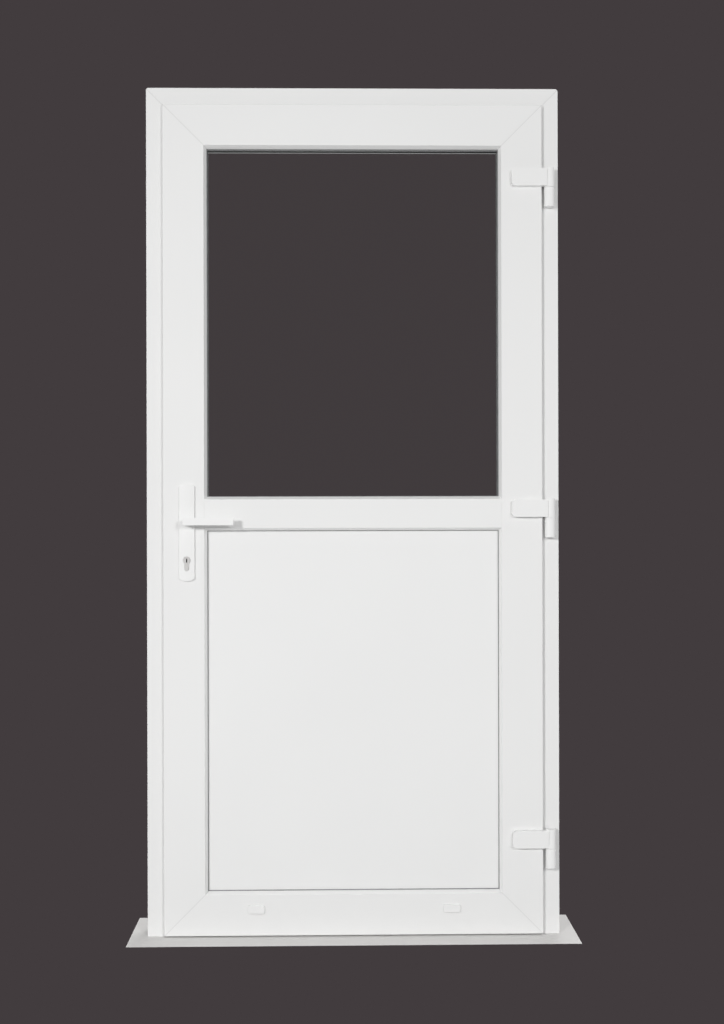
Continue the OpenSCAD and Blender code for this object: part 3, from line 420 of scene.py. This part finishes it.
def float_glass(name, tint):
    """Clear pane that lets lamp light through to what is behind it."""
    material, sheet = new_sheet(name)
    pane = sheet.add("ShaderNodeBsdfPrincipled", inputs={
        "Base Color": rgba(tint), "Roughness": 0.0, "IOR": 1.5, "Transmission Weight": 1.0
    })
    clear = sheet.add("ShaderNodeBsdfTransparent", inputs={"Color": rgba(tint)})
    lamp = sheet.add("ShaderNodeLightPath", out="Is Shadow Ray")
    mixed = sheet.add("ShaderNodeMixShader", inputs={0: lamp, 1: pane, 2: clear})
    sheet.add("ShaderNodeOutputMaterial", inputs={"Surface": mixed})
    return material


def moulded_block(name, tint):
    """Coarse moulded plastic of the setting blocks."""
    material, sheet = new_sheet(name)
    mottle = grain(sheet, per_metre=130.0, detail=3.0)
    base = sheet.shades(mottle, tint, 0.85, 1.2)
    close(sheet, base, 0.5 + 0.15 * mottle, height=mottle, relief=0.08 * MM)
    return material


def foam_board(name, tint):
    """Cut foam with open cells."""
    material, sheet = new_sheet(name)
    cells = sheet.add("ShaderNodeTexVoronoi", inputs={"Vector": sheet.spot(), "Scale": 900.0}, out="Distance")
    base = sheet.shades(cells, tint, 0.8, 1.1)
    close(sheet, base, 0.85 + 0.1 * cells, height=cells, relief=0.2 * MM)
    return material


def dusty_floor(name, tint):
    """Matt studio floor with a little dust."""
    material, sheet = new_sheet(name)
    dust = grain(sheet, per_metre=40.0, detail=3.0)
    close(sheet, sheet.shades(dust, tint, 0.98, 1.02), 0.7 + 0.1 * dust)
    return material


def dress(nodes, material):
    """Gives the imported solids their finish."""
    for node in nodes:
        solid = NODES[node].data
        solid.materials.clear()
        solid.materials.append(material)


def placed(name, data):
    """A new object in the scene, at the origin."""
    thing = bpy.data.objects.new(name, data)
    bpy.context.scene.collection.objects.link(thing)
    return thing


def as_piece(name, mesh, material, node):
    """A finished piece with one material, riding on the same body as a node."""
    mesh.materials.clear()
    mesh.materials.append(material)
    piece = placed(name, mesh)
    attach(piece, BODY_OF[node])
    return piece


def plain_mesh(holder):
    """The mesh that an object's modifiers make; the object goes."""
    stage = bpy.context.evaluated_depsgraph_get()
    mesh = bpy.data.meshes.new_from_object(holder.evaluated_get(stage), depsgraph=stage)
    bpy.data.objects.remove(holder)
    return mesh


def level_faces(mesh):
    """Keeps the shading of large flat faces level up to their rounded edges."""
    holder = placed(mesh.name, mesh)
    modifier = holder.modifiers.new("level", "WEIGHTED_NORMAL")
    modifier.keep_sharp = True
    return plain_mesh(holder)


def merged_copy(node):
    """A copy of a solid with its loose triangles joined at their points."""
    shape = bmesh.new()
    shape.from_mesh(NODES[node].data)
    bmesh.ops.remove_doubles(shape, verts=shape.verts, dist=SAME_POINT)
    return shape


def rounded(node, edge, material, seat=None, steps=3):
    """A copy of a solid with rounded edges that stands for it. Edges in the seat plane stay sharp."""
    shape = merged_copy(node)
    bmesh.ops.dissolve_limit(shape, angle_limit=LEVEL, verts=shape.verts, edges=shape.edges)

    def in_seat(line):
        return seat is not None and all(abs(v.co[seat[0]] - seat[1]) < IN_SEAT for v in line.verts)

    lines = [
        line for line in shape.edges
        if line.is_manifold and line.calc_face_angle() > STEEP and not in_seat(line)
    ]
    bmesh.ops.bevel(
        shape, geom=lines, offset=edge, offset_type="OFFSET", segments=steps, profile=0.5,
        affect="EDGES", clamp_overlap=True, loop_slide=True
    )
    mesh = bpy.data.meshes.new(node + "_rounded")
    shape.to_mesh(mesh)
    shape.free()
    mesh.shade_smooth()
    mesh.set_sharp_from_angle(angle=CRISP)
    piece = as_piece(node + "_rounded", level_faces(mesh), material, node)
    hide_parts(node)


def new_rule(name, sizes):
    """An empty Geometry Nodes tree with named inputs; returns the sheet and its input sockets."""
    tree = bpy.data.node_groups.new(name, "GeometryNodeTree")
    tree.interface.new_socket(name="Geometry", in_out="INPUT", socket_type="NodeSocketGeometry")
    for label in sizes:
        tree.interface.new_socket(name=label, in_out="INPUT", socket_type="NodeSocketFloat")
    tree.interface.new_socket(name="Turn", in_out="INPUT", socket_type="NodeSocketVector")
    tree.interface.new_socket(name="Material", in_out="INPUT", socket_type="NodeSocketMaterial")
    tree.interface.new_socket(name="Geometry", in_out="OUTPUT", socket_type="NodeSocketGeometry")
    sheet = Sheet(tree)
    source = tree.nodes.new("NodeGroupInput")
    return sheet, {socket.name: Wire(sheet, socket) for socket in source.outputs if socket.name}


def close_rule(sheet, shape, value):
    """Ends a tree: the shape on every point, made real and given its material."""
    copies = sheet.add("GeometryNodeInstanceOnPoints", inputs={
        "Points": value["Geometry"], "Instance": shape, "Rotation": value["Turn"]
    })
    solid = sheet.add("GeometryNodeRealizeInstances", inputs={"Geometry": copies})
    solid = sheet.add("GeometryNodeSetMaterial", inputs={"Geometry": solid, "Material": value["Material"]})
    sheet.add("NodeGroupOutput", inputs={"Geometry": solid})
    return sheet.tree


def rod(sheet, sides, radius, depth):
    """A cylinder along Z, centred on its middle."""
    return sheet.add("GeometryNodeMeshCylinder", inputs={"Vertices": sides, "Radius": radius, "Depth": depth})


def lowered(sheet, shape, depth):
    """A shape moved down by a depth."""
    place = sheet.add("ShaderNodeCombineXYZ", inputs={"Z": -1.0 * depth})
    return sheet.add("GeometryNodeTransform", inputs={"Geometry": shape, "Translation": place})


def screw_rule(head_sides=32, shank_sides=20):
    """A screw with a cross slot, on every point; its head's top lies on the point."""
    sizes = ("Head Radius", "Head Height", "Shank Radius", "Shank Length", "Drive Width", "Drive Depth")
    sheet, value = new_rule("cross_slot_screws", sizes)
    head = rod(sheet, head_sides, value["Head Radius"], value["Head Height"])
    head = lowered(sheet, head, 0.5 * value["Head Height"])
    drive_length = 1.25 * value["Head Radius"]
    for turn in (0.0, QUARTER):
        size = sheet.add("ShaderNodeCombineXYZ", inputs={
            "X": drive_length, "Y": value["Drive Width"], "Z": 2.0 * value["Drive Depth"]
        })
        slot = sheet.add("GeometryNodeMeshCube", inputs={"Size": size})
        slot = sheet.add("GeometryNodeTransform", inputs={"Geometry": slot, "Rotation": (0.0, 0.0, turn)})
        head = sheet.add(
            "GeometryNodeMeshBoolean", {"operation": "DIFFERENCE"}, {"Mesh 1": head, "Mesh 2": slot}
        )
    shank = rod(sheet, shank_sides, value["Shank Radius"], value["Shank Length"])
    shank = lowered(sheet, shank, value["Head Height"] + 0.5 * value["Shank Length"])
    whole = sheet.add("GeometryNodeJoinGeometry", inputs={"Geometry": [head, shank]})
    return close_rule(sheet, whole, value)


def rod_rule(name, sides):
    """A round rod, centred on every point."""
    sheet, value = new_rule(name, ("Radius", "Length"))
    return close_rule(sheet, rod(sheet, sides, value["Radius"], value["Length"]), value)


def grown(rule, points, sizes, turn, material):
    """Runs a tree on a set of points and returns the result as a plain mesh."""
    cloud = bpy.data.meshes.new(rule.name + "_points")
    cloud.from_pydata([tuple(p) for p in points], [], [])
    holder = placed(rule.name + "_holder", cloud)
    modifier = holder.modifiers.new(rule.name, "NODES")
    modifier.node_group = rule
    values = dict(sizes, Turn=turn, Material=material)
    for item in rule.interface.items_tree:
        if item.in_out == "INPUT" and item.name in values:
            modifier[item.identifier] = values[item.name]
    return plain_mesh(holder)


def joined(meshes, name):
    """One mesh from several."""
    shape = bmesh.new()
    for mesh in meshes:
        shape.from_mesh(mesh)
    whole = bpy.data.meshes.new(name)
    shape.to_mesh(whole)
    shape.free()
    return whole


def spread(low, high, pitch):
    """Middles of equal steps from low to high, each about a pitch long."""
    count = round((high - low) / pitch)
    return [low + (high - low) * (i + 0.5) / count for i in range(count)]


def islands(node):
    """Lowest and highest corner of each separate solid in a node."""
    shape = merged_copy(node)
    boxes, seen = [], set()
    for start in shape.verts:
        if start in seen:
            continue
        group, front = [], [start]
        seen.add(start)
        while front:
            vertex = front.pop()
            group.append(vertex.co)
            for line in vertex.link_edges:
                other = line.other_vert(vertex)
                if other not in seen:
                    seen.add(other)
                    front.append(other)
        boxes.append((
            Vector([min(p[i] for p in group) for i in range(3)]),
            Vector([max(p[i] for p in group) for i in range(3)]),
        ))
    shape.free()
    return boxes


def softbox(name, place, aim, side, energy):
    """A square lamp that neither the camera nor a mirroring surface shows."""
    lamp = bpy.data.lights.new(name, "AREA")
    lamp.shape = "SQUARE"
    lamp.size = side
    lamp.energy = energy
    holder = placed(name, lamp)
    holder.location = place
    holder.rotation_euler = (Vector(aim) - Vector(place)).to_track_quat("-Z", "Y").to_euler()
    holder.visible_camera = False
    holder.visible_transmission = False
    holder.visible_glossy = False


class DOOR_OT_profiles(bpy.types.Operator):
    """White plastic on the welded profiles of the frame and the leaf, and on the beads"""

    bl_idname = "door.profiles"
    bl_label = "Profiles and beads"

    def execute(self, context):
        tint = context.scene.door_colours.plastic
        leaf = (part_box("lock_stile")[0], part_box("hinge_stile")[1], True)
        outer = (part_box("lock_jamb")[0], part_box("hinge_jamb")[1], False)
        for name, nodes, run, welded in (
            ("stile_plastic", ("lock_stile", "hinge_stile"), "upright", leaf),
            ("rail_plastic", ("top_rail", "bottom_rail"), "across", leaf),
            ("jamb_plastic", ("lock_jamb", "hinge_jamb"), "upright", outer),
            ("head_plastic", ("frame_head",), "across", outer),
            ("side_bead_plastic", SIDE_BEADS, "upright", None),
            ("cross_bead_plastic", ("transom",) + CROSS_BEADS, "across", None),
        ):
            dress(nodes, white_plastic(name, tint, GRAIN[run], welded=welded))
        return {"FINISHED"}


class DOOR_OT_reinforcement(bpy.types.Operator):
    """Galvanised steel in the chambers of the profiles, and the lock case"""

    bl_idname = "door.reinforcement"
    bl_label = "Steel reinforcement"

    def execute(self, context):
        tint = context.scene.door_colours.galvanised
        dress(("frame_steels", "leaf_steels", "lock_case"), spangled_zinc("galvanised_sheet", tint))
        return {"FINISHED"}


class DOOR_OT_seals(bpy.types.Operator):
    """Rubber seals and the rounded gaskets round glass and panel"""

    bl_idname = "door.seals"
    bl_label = "Seals and gaskets"

    def execute(self, context):
        colours, edges = context.scene.door_colours, context.scene.door_edges
        dark = soft_rubber("dark_rubber", colours.rubber)
        dress(("frame_seal", "leaf_seal", "glass_edge_seal"), dark)
        grey = soft_rubber("grey_rubber", colours.gasket)
        for node in GASKETS:
            rounded(node, edges.gasket, grey)
        return {"FINISHED"}


class DOOR_OT_glass_unit(bpy.types.Operator):
    """Two panes with a vented spacer bar between them"""

    bl_idname = "door.glass_unit"
    bl_label = "Glass unit"

    def execute(self, context):
        colours, edges = context.scene.door_colours, context.scene.door_edges
        dress(("outer_glass", "inner_glass"), float_glass("float_glass", colours.pane))
        # Pale and only a little metallic: part of the bar's paleness is painted sheen of bright aluminium
        rough, metallic = 0.34, 0.2
        bar = brushed_metal("spacer_bar", colours.spacer, GRAIN["spacer"], rough, metallic)
        dress(("glass_spacer",), bar)
        low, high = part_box("glass_spacer")
        bar_width, sunk, vent_depth = 7.0 * MM, 0.1 * MM, 0.3 * MM
        middle = (low.y + high.y) / 2
        left, right = low.x + bar_width - sunk, high.x - bar_width + sunk
        bottom, top = low.z + bar_width - sunk, high.z - bar_width + sunk
        across = spread(left, right, edges.vent_pitch)
        upward = spread(bottom, top, edges.vent_pitch)
        lying = [(x, middle, z) for x in across for z in (bottom, top)]
        standing = [(x, middle, z) for z in upward for x in (left, right)]
        rule = rod_rule("spacer_vents", sides=10)
        # Dark discs in place of the vent holes: painted shade of the holes
        dark = soft_rubber("spacer_vent", colours.rubber)
        sizes = {"Radius": edges.vent_radius, "Length": vent_depth}
        vents = joined([
            grown(rule, lying, sizes, (0.0, 0.0, 0.0), dark),
            grown(rule, standing, sizes, (0.0, QUARTER, 0.0), dark),
        ], "spacer_vents")
        as_piece("spacer_vents", vents, dark, "glass_spacer")
        return {"FINISHED"}


class DOOR_OT_infill(bpy.types.Operator):
    """Infill panel of skins and foam, and the blocks that set it and the glass"""

    bl_idname = "door.infill"
    bl_label = "Infill panel and blocks"

    def execute(self, context):
        colours = context.scene.door_colours
        skin = white_plastic("panel_skin", colours.panel, GRAIN["panel"], relief=0.012 * MM)
        dress(("panel_skins",), skin)
        dress(("panel_core",), foam_board("panel_foam", colours.foam))
        dress(("setting_blocks",), moulded_block("setting_block", colours.block))
        return {"FINISHED"}


class DOOR_OT_threshold(bpy.types.Operator):
    """Low aluminium threshold with a ribbed tread and its end blocks"""

    bl_idname = "door.threshold"
    bl_label = "Threshold"

    def execute(self, context):
        colours, edges = context.scene.door_colours, context.scene.door_edges
        bare = brushed_metal("threshold_aluminium", colours.aluminium, GRAIN["threshold"], rough=0.32)
        dress(("threshold",), bare)
        plain = white_plastic("block_plastic", colours.plastic, GRAIN["moulding"])
        dress(("threshold_end_blocks",), plain)
        low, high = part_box("threshold_end_blocks")
        inset, margin, buried = 40.0 * MM, 6.0 * MM, 0.2 * MM
        count = int((high.y - low.y - 2 * margin) / edges.rib_pitch) + 1
        first = (low.y + high.y) / 2 - (count - 1) / 2 * edges.rib_pitch
        points = [(0.0, first + i * edges.rib_pitch, high.z - buried) for i in range(count)]
        sizes = {"Radius": edges.rib_radius, "Length": high.x - low.x - 2 * inset}
        ribs = grown(rod_rule("tread_ribs", sides=12), points, sizes, (0.0, QUARTER, 0.0), bare)
        ribs.shade_smooth()
        ribs.set_sharp_from_angle(angle=CRISP_RIB)
        as_piece("tread_ribs", ribs, bare, "threshold")
        return {"FINISHED"}


class DOOR_OT_hinges(bpy.types.Operator):
    """Three flag hinges: barrels on the frame, flags and snap-on covers on the leaf"""

    bl_idname = "door.hinges"
    bl_label = "Hinges"

    def execute(self, context):
        colours, edges = context.scene.door_colours, context.scene.door_edges
        coat = powder_coat("hinge_coat", colours.coating)
        moulding = white_plastic("cover_moulding", colours.cover, GRAIN["moulding"])
        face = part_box("lock_stile")[0].y
        for place in HINGES:
            rounded("hinge_barrel_" + place, edges.barrel, coat)
            rounded("hinge_flag_" + place, edges.barrel, coat, seat=(1, face))
            rounded("hinge_cover_" + place, edges.cover, moulding, seat=(1, face))
        dress(("hinge_pins",), brushed_metal("hinge_pin", colours.zinc, GRAIN["pin"]))
        return {"FINISHED"}


class DOOR_OT_handles(bpy.types.Operator):
    """Long handle plates and levers on both faces, with the square spindle"""

    bl_idname = "door.handles"
    bl_label = "Handles"

    def execute(self, context):
        colours, edges = context.scene.door_colours, context.scene.door_edges
        coat = powder_coat("handle_coat", colours.coating)
        outer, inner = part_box("lock_stile")[0].y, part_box("lock_stile")[1].y
        rounded("outside_plate", edges.plate, coat, seat=(1, outer))
        rounded("inside_plate", edges.plate, coat, seat=(1, inner))
        rounded("outside_lever", edges.lever, coat)
        rounded("inside_lever", edges.lever, coat)
        dress(("spindle",), brushed_metal("spindle_steel", colours.zinc, GRAIN["spindle"]))
        return {"FINISHED"}


class DOOR_OT_cylinder(bpy.types.Operator):
    """Nickel profile cylinder with its two plugs and the cam"""

    bl_idname = "door.cylinder"
    bl_label = "Cylinder"

    def execute(self, context):
        colours, edges = context.scene.door_colours, context.scene.door_edges
        nickel, strokes = colours.nickel, GRAIN["cylinder"]
        # Only partly metallic, so that it stays pale with no lamp to mirror
        rough, metallic = 0.32, 0.3
        shell = brushed_metal("cylinder_nickel", nickel, strokes, rough, metallic)
        rounded("cylinder_body", edges.metal, shell, steps=2)
        for node in ("outside_plug", "inside_plug"):
            # The plug's two end faces bound the painted shade in its keyway
            ends = (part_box(node)[0].y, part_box(node)[1].y)
            plug = brushed_metal(node + "_nickel", nickel, strokes, rough, metallic, ends)
            rounded(node, edges.metal, plug, steps=2)
        dress(("lock_cam",), brushed_metal("cam_steel", colours.zinc, GRAIN["cam"]))
        return {"FINISHED"}


class DOOR_OT_lock(bpy.types.Operator):
    """Faceplate, bolts and follower in the leaf, and the strike plate on the frame"""

    bl_idname = "door.lock"
    bl_label = "Lock"

    def execute(self, context):
        colours, edges = context.scene.door_colours, context.scene.door_edges
        nickel = brushed_metal("lock_nickel", colours.nickel, GRAIN["lock"])
        for node in ("lock_faceplate", "latch_bolt", "dead_bolt"):
            rounded(node, edges.metal, nickel, steps=2)
        plate = brushed_metal("strike_zinc", colours.zinc, GRAIN["strike"], rough=0.3)
        rounded("strike_plate", edges.metal, plate, steps=2)
        dress(("follower",), plate)
        return {"FINISHED"}


class DOOR_OT_screws(bpy.types.Operator):
    """Cross-slot screws in the strike plate, faceplate, cylinder, hinges and handle plates"""

    bl_idname = "door.screws"
    bl_label = "Screws"

    def execute(self, context):
        colours, edges = context.scene.door_colours, context.scene.door_edges
        zinc = brushed_metal("screw_zinc", colours.zinc, GRAIN["screw"], rough=0.24)
        rule = screw_rule()
        # A shank is thinner than its head by the shoulder, and a smaller head has a narrower drive
        shoulder, full_head = 0.1 * MM, 4.0 * MM
        for node, (axis, way, head, shank) in SCREWS.items():
            boxes = islands(node)
            tops = []
            for low, high in boxes:
                top = (low + high) / 2
                top[axis] = high[axis] if way > 0 else low[axis]
                tops.append(top)
            low, high = boxes[0]
            radius = (high.z - low.z) / 2
            sizes = {
                "Head Radius": radius,
                "Head Height": head,
                "Shank Radius": min(shank, radius - shoulder),
                "Shank Length": high[axis] - low[axis] - head,
                "Drive Width": edges.drive_width * min(1.0, radius / full_head),
                "Drive Depth": edges.drive_depth,
            }
            mesh = grown(rule, tops, sizes, HEAD_TURNS[axis, way], zinc)
            piece = as_piece(node + "_slotted", mesh, zinc, node)
            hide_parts(node)
        return {"FINISHED"}


class DOOR_OT_drain_caps(bpy.types.Operator):
    """Hooded caps over the drain slots of the bottom rail"""

    bl_idname = "door.drain_caps"
    bl_label = "Drain caps"

    def execute(self, context):
        colours, edges = context.scene.door_colours, context.scene.door_edges
        moulding = white_plastic("cap_moulding", colours.cover, GRAIN["moulding"])
        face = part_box("lock_stile")[0].y
        rounded("drain_caps", edges.cap, moulding, seat=(1, face))
        return {"FINISHED"}


class DOOR_OT_stage(bpy.types.Operator):
    """Camera, softboxes, backdrop and a pale floor"""

    bl_idname = "door.stage"
    bl_label = "Stage"

    def execute(self, context):
        scene = context.scene
        studio, colours = scene.door_studio, scene.door_colours
        self.camera(scene, studio)
        for name, (place, aim, side) in SOFTBOXES.items():
            softbox(name + "_softbox", place, aim, side, getattr(studio, name + "_power"))
        self.backdrop(scene, studio, colours)
        self.floor(studio, colours)
        scene.view_settings.view_transform = "Standard"
        return {"FINISHED"}

    def camera(self, scene, studio):
        """The camera, where the photograph was taken from."""
        lens = bpy.data.cameras.new("photo_camera")
        lens.lens = studio.camera_lens
        lens.sensor_width = studio.camera_sensor
        camera = placed("photo_camera", lens)
        camera.location = studio.camera_place
        camera.rotation_euler = studio.camera_turn
        scene.camera = camera

    def backdrop(self, scene, studio, colours):
        """Soft light on the door; what the camera, glass and metal see is the backdrop with soft glows."""
        world = bpy.data.worlds.new("studio")
        scene.world = world
        world.use_nodes = True
        world.node_tree.nodes.clear()
        sheet = Sheet(world.node_tree)
        way = sheet.add("ShaderNodeTexCoord", out="Generated")
        across, inward, height = [
            sheet.add("ShaderNodeSeparateXYZ", inputs={"Vector": way}, out=axis) for axis in "XYZ"
        ]
        camera_ray, glossy_ray, glass_ray, bounces = [
            sheet.add("ShaderNodeLightPath", out=ray)
            for ray in ("Is Camera Ray", "Is Glossy Ray", "Is Transmission Ray", "Diffuse Depth")
        ]

        # Soft light, with more of it from the floor and from the sides
        upward = sheet.ramp(height, LIGHT_BELOW, studio.from_below, 1.0)
        around = sheet.ramp(abs(inward), (0.0, 1.0), studio.from_sides, studio.from_front)
        soft = studio.ambient * upward * around
        light = sheet.add("ShaderNodeBackground", inputs={"Color": WHITE, "Strength": soft})

        # What is seen: the backdrop, with glows where a surface mirrors it
        overhead = sheet.ramp(height, GLOW_ABOVE, 0.0, studio.ceiling)
        beside = sheet.ramp(abs(across), GLOW_BESIDE, 0.0, studio.sides)
        indoors = sheet.ramp(inward, GLOW_INSIDE, 0.0, studio.room)
        mirrored = glossy_ray * (1 - glass_ray)
        seen = sheet.blend(mirrored * (overhead + beside + indoors), rgba(colours.backdrop), WHITE)
        shown = sheet.add("ShaderNodeBackground", inputs={"Color": seen, "Strength": 1.0})

        # Rays that show nothing, or have bounced off a matt surface, bring the soft light
        unseen = (1 - camera_ray) * (1 - glossy_ray) * (1 - glass_ray)
        lit = 1 - (1 - unseen) * (1 - bounces.least(1.0))
        mixed = sheet.add("ShaderNodeMixShader", inputs={0: lit, 1: shown, 2: light})
        sheet.add("ShaderNodeOutputWorld", inputs={"Surface": mixed})

    def floor(self, studio, colours):
        """A pale sheet under the door."""
        x, y = studio.floor_width / 2, studio.floor_depth / 2
        mesh = bpy.data.meshes.new("floor")
        mesh.from_pydata([(-x, -y, 0.0), (x, -y, 0.0), (x, y, 0.0), (-x, y, 0.0)], [], [(0, 1, 2, 3)])
        mesh.materials.append(dusty_floor("pale_floor", colours.floor))
        placed("floor", mesh)


STEPS = (
    DOOR_OT_profiles,
    DOOR_OT_reinforcement,
    DOOR_OT_seals,
    DOOR_OT_glass_unit,
    DOOR_OT_infill,
    DOOR_OT_threshold,
    DOOR_OT_hinges,
    DOOR_OT_handles,
    DOOR_OT_cylinder,
    DOOR_OT_lock,
    DOOR_OT_screws,
    DOOR_OT_drain_caps,
    DOOR_OT_stage,
)


class DOOR_PT_panel(bpy.types.Panel):
    """Lists the door's steps, sizes and colours"""

    bl_idname = "DOOR_PT_panel"
    bl_label = "Glazed plastic door"
    bl_space_type = "VIEW_3D"
    bl_region_type = "UI"
    bl_category = "Door"

    def draw(self, context):
        for step in STEPS:
            self.layout.operator(step.bl_idname, text=step.bl_label)
        for group in (context.scene.door_colours, context.scene.door_edges, context.scene.door_studio):
            box = self.layout.box()
            for name in group.__annotations__:
                box.prop(group, name)


GROUPS = {"door_colours": DoorColours, "door_edges": DoorEdges, "door_studio": DoorStudio}


def register():
    for cls in (*GROUPS.values(), *STEPS, DOOR_PT_panel):
        bpy.utils.register_class(cls)
    for name, cls in GROUPS.items():
        setattr(bpy.types.Scene, name, bpy.props.PointerProperty(type=cls))


def unregister():
    for name in GROUPS:
        delattr(bpy.types.Scene, name)
    for cls in (DOOR_PT_panel, *reversed(STEPS), *GROUPS.values()):
        bpy.utils.unregister_class(cls)


def main():
    register()
    for step in STEPS:
        area, name = step.bl_idname.split(".")
        getattr(getattr(bpy.ops, area), name)()


if __name__ == "__main__":
    main()
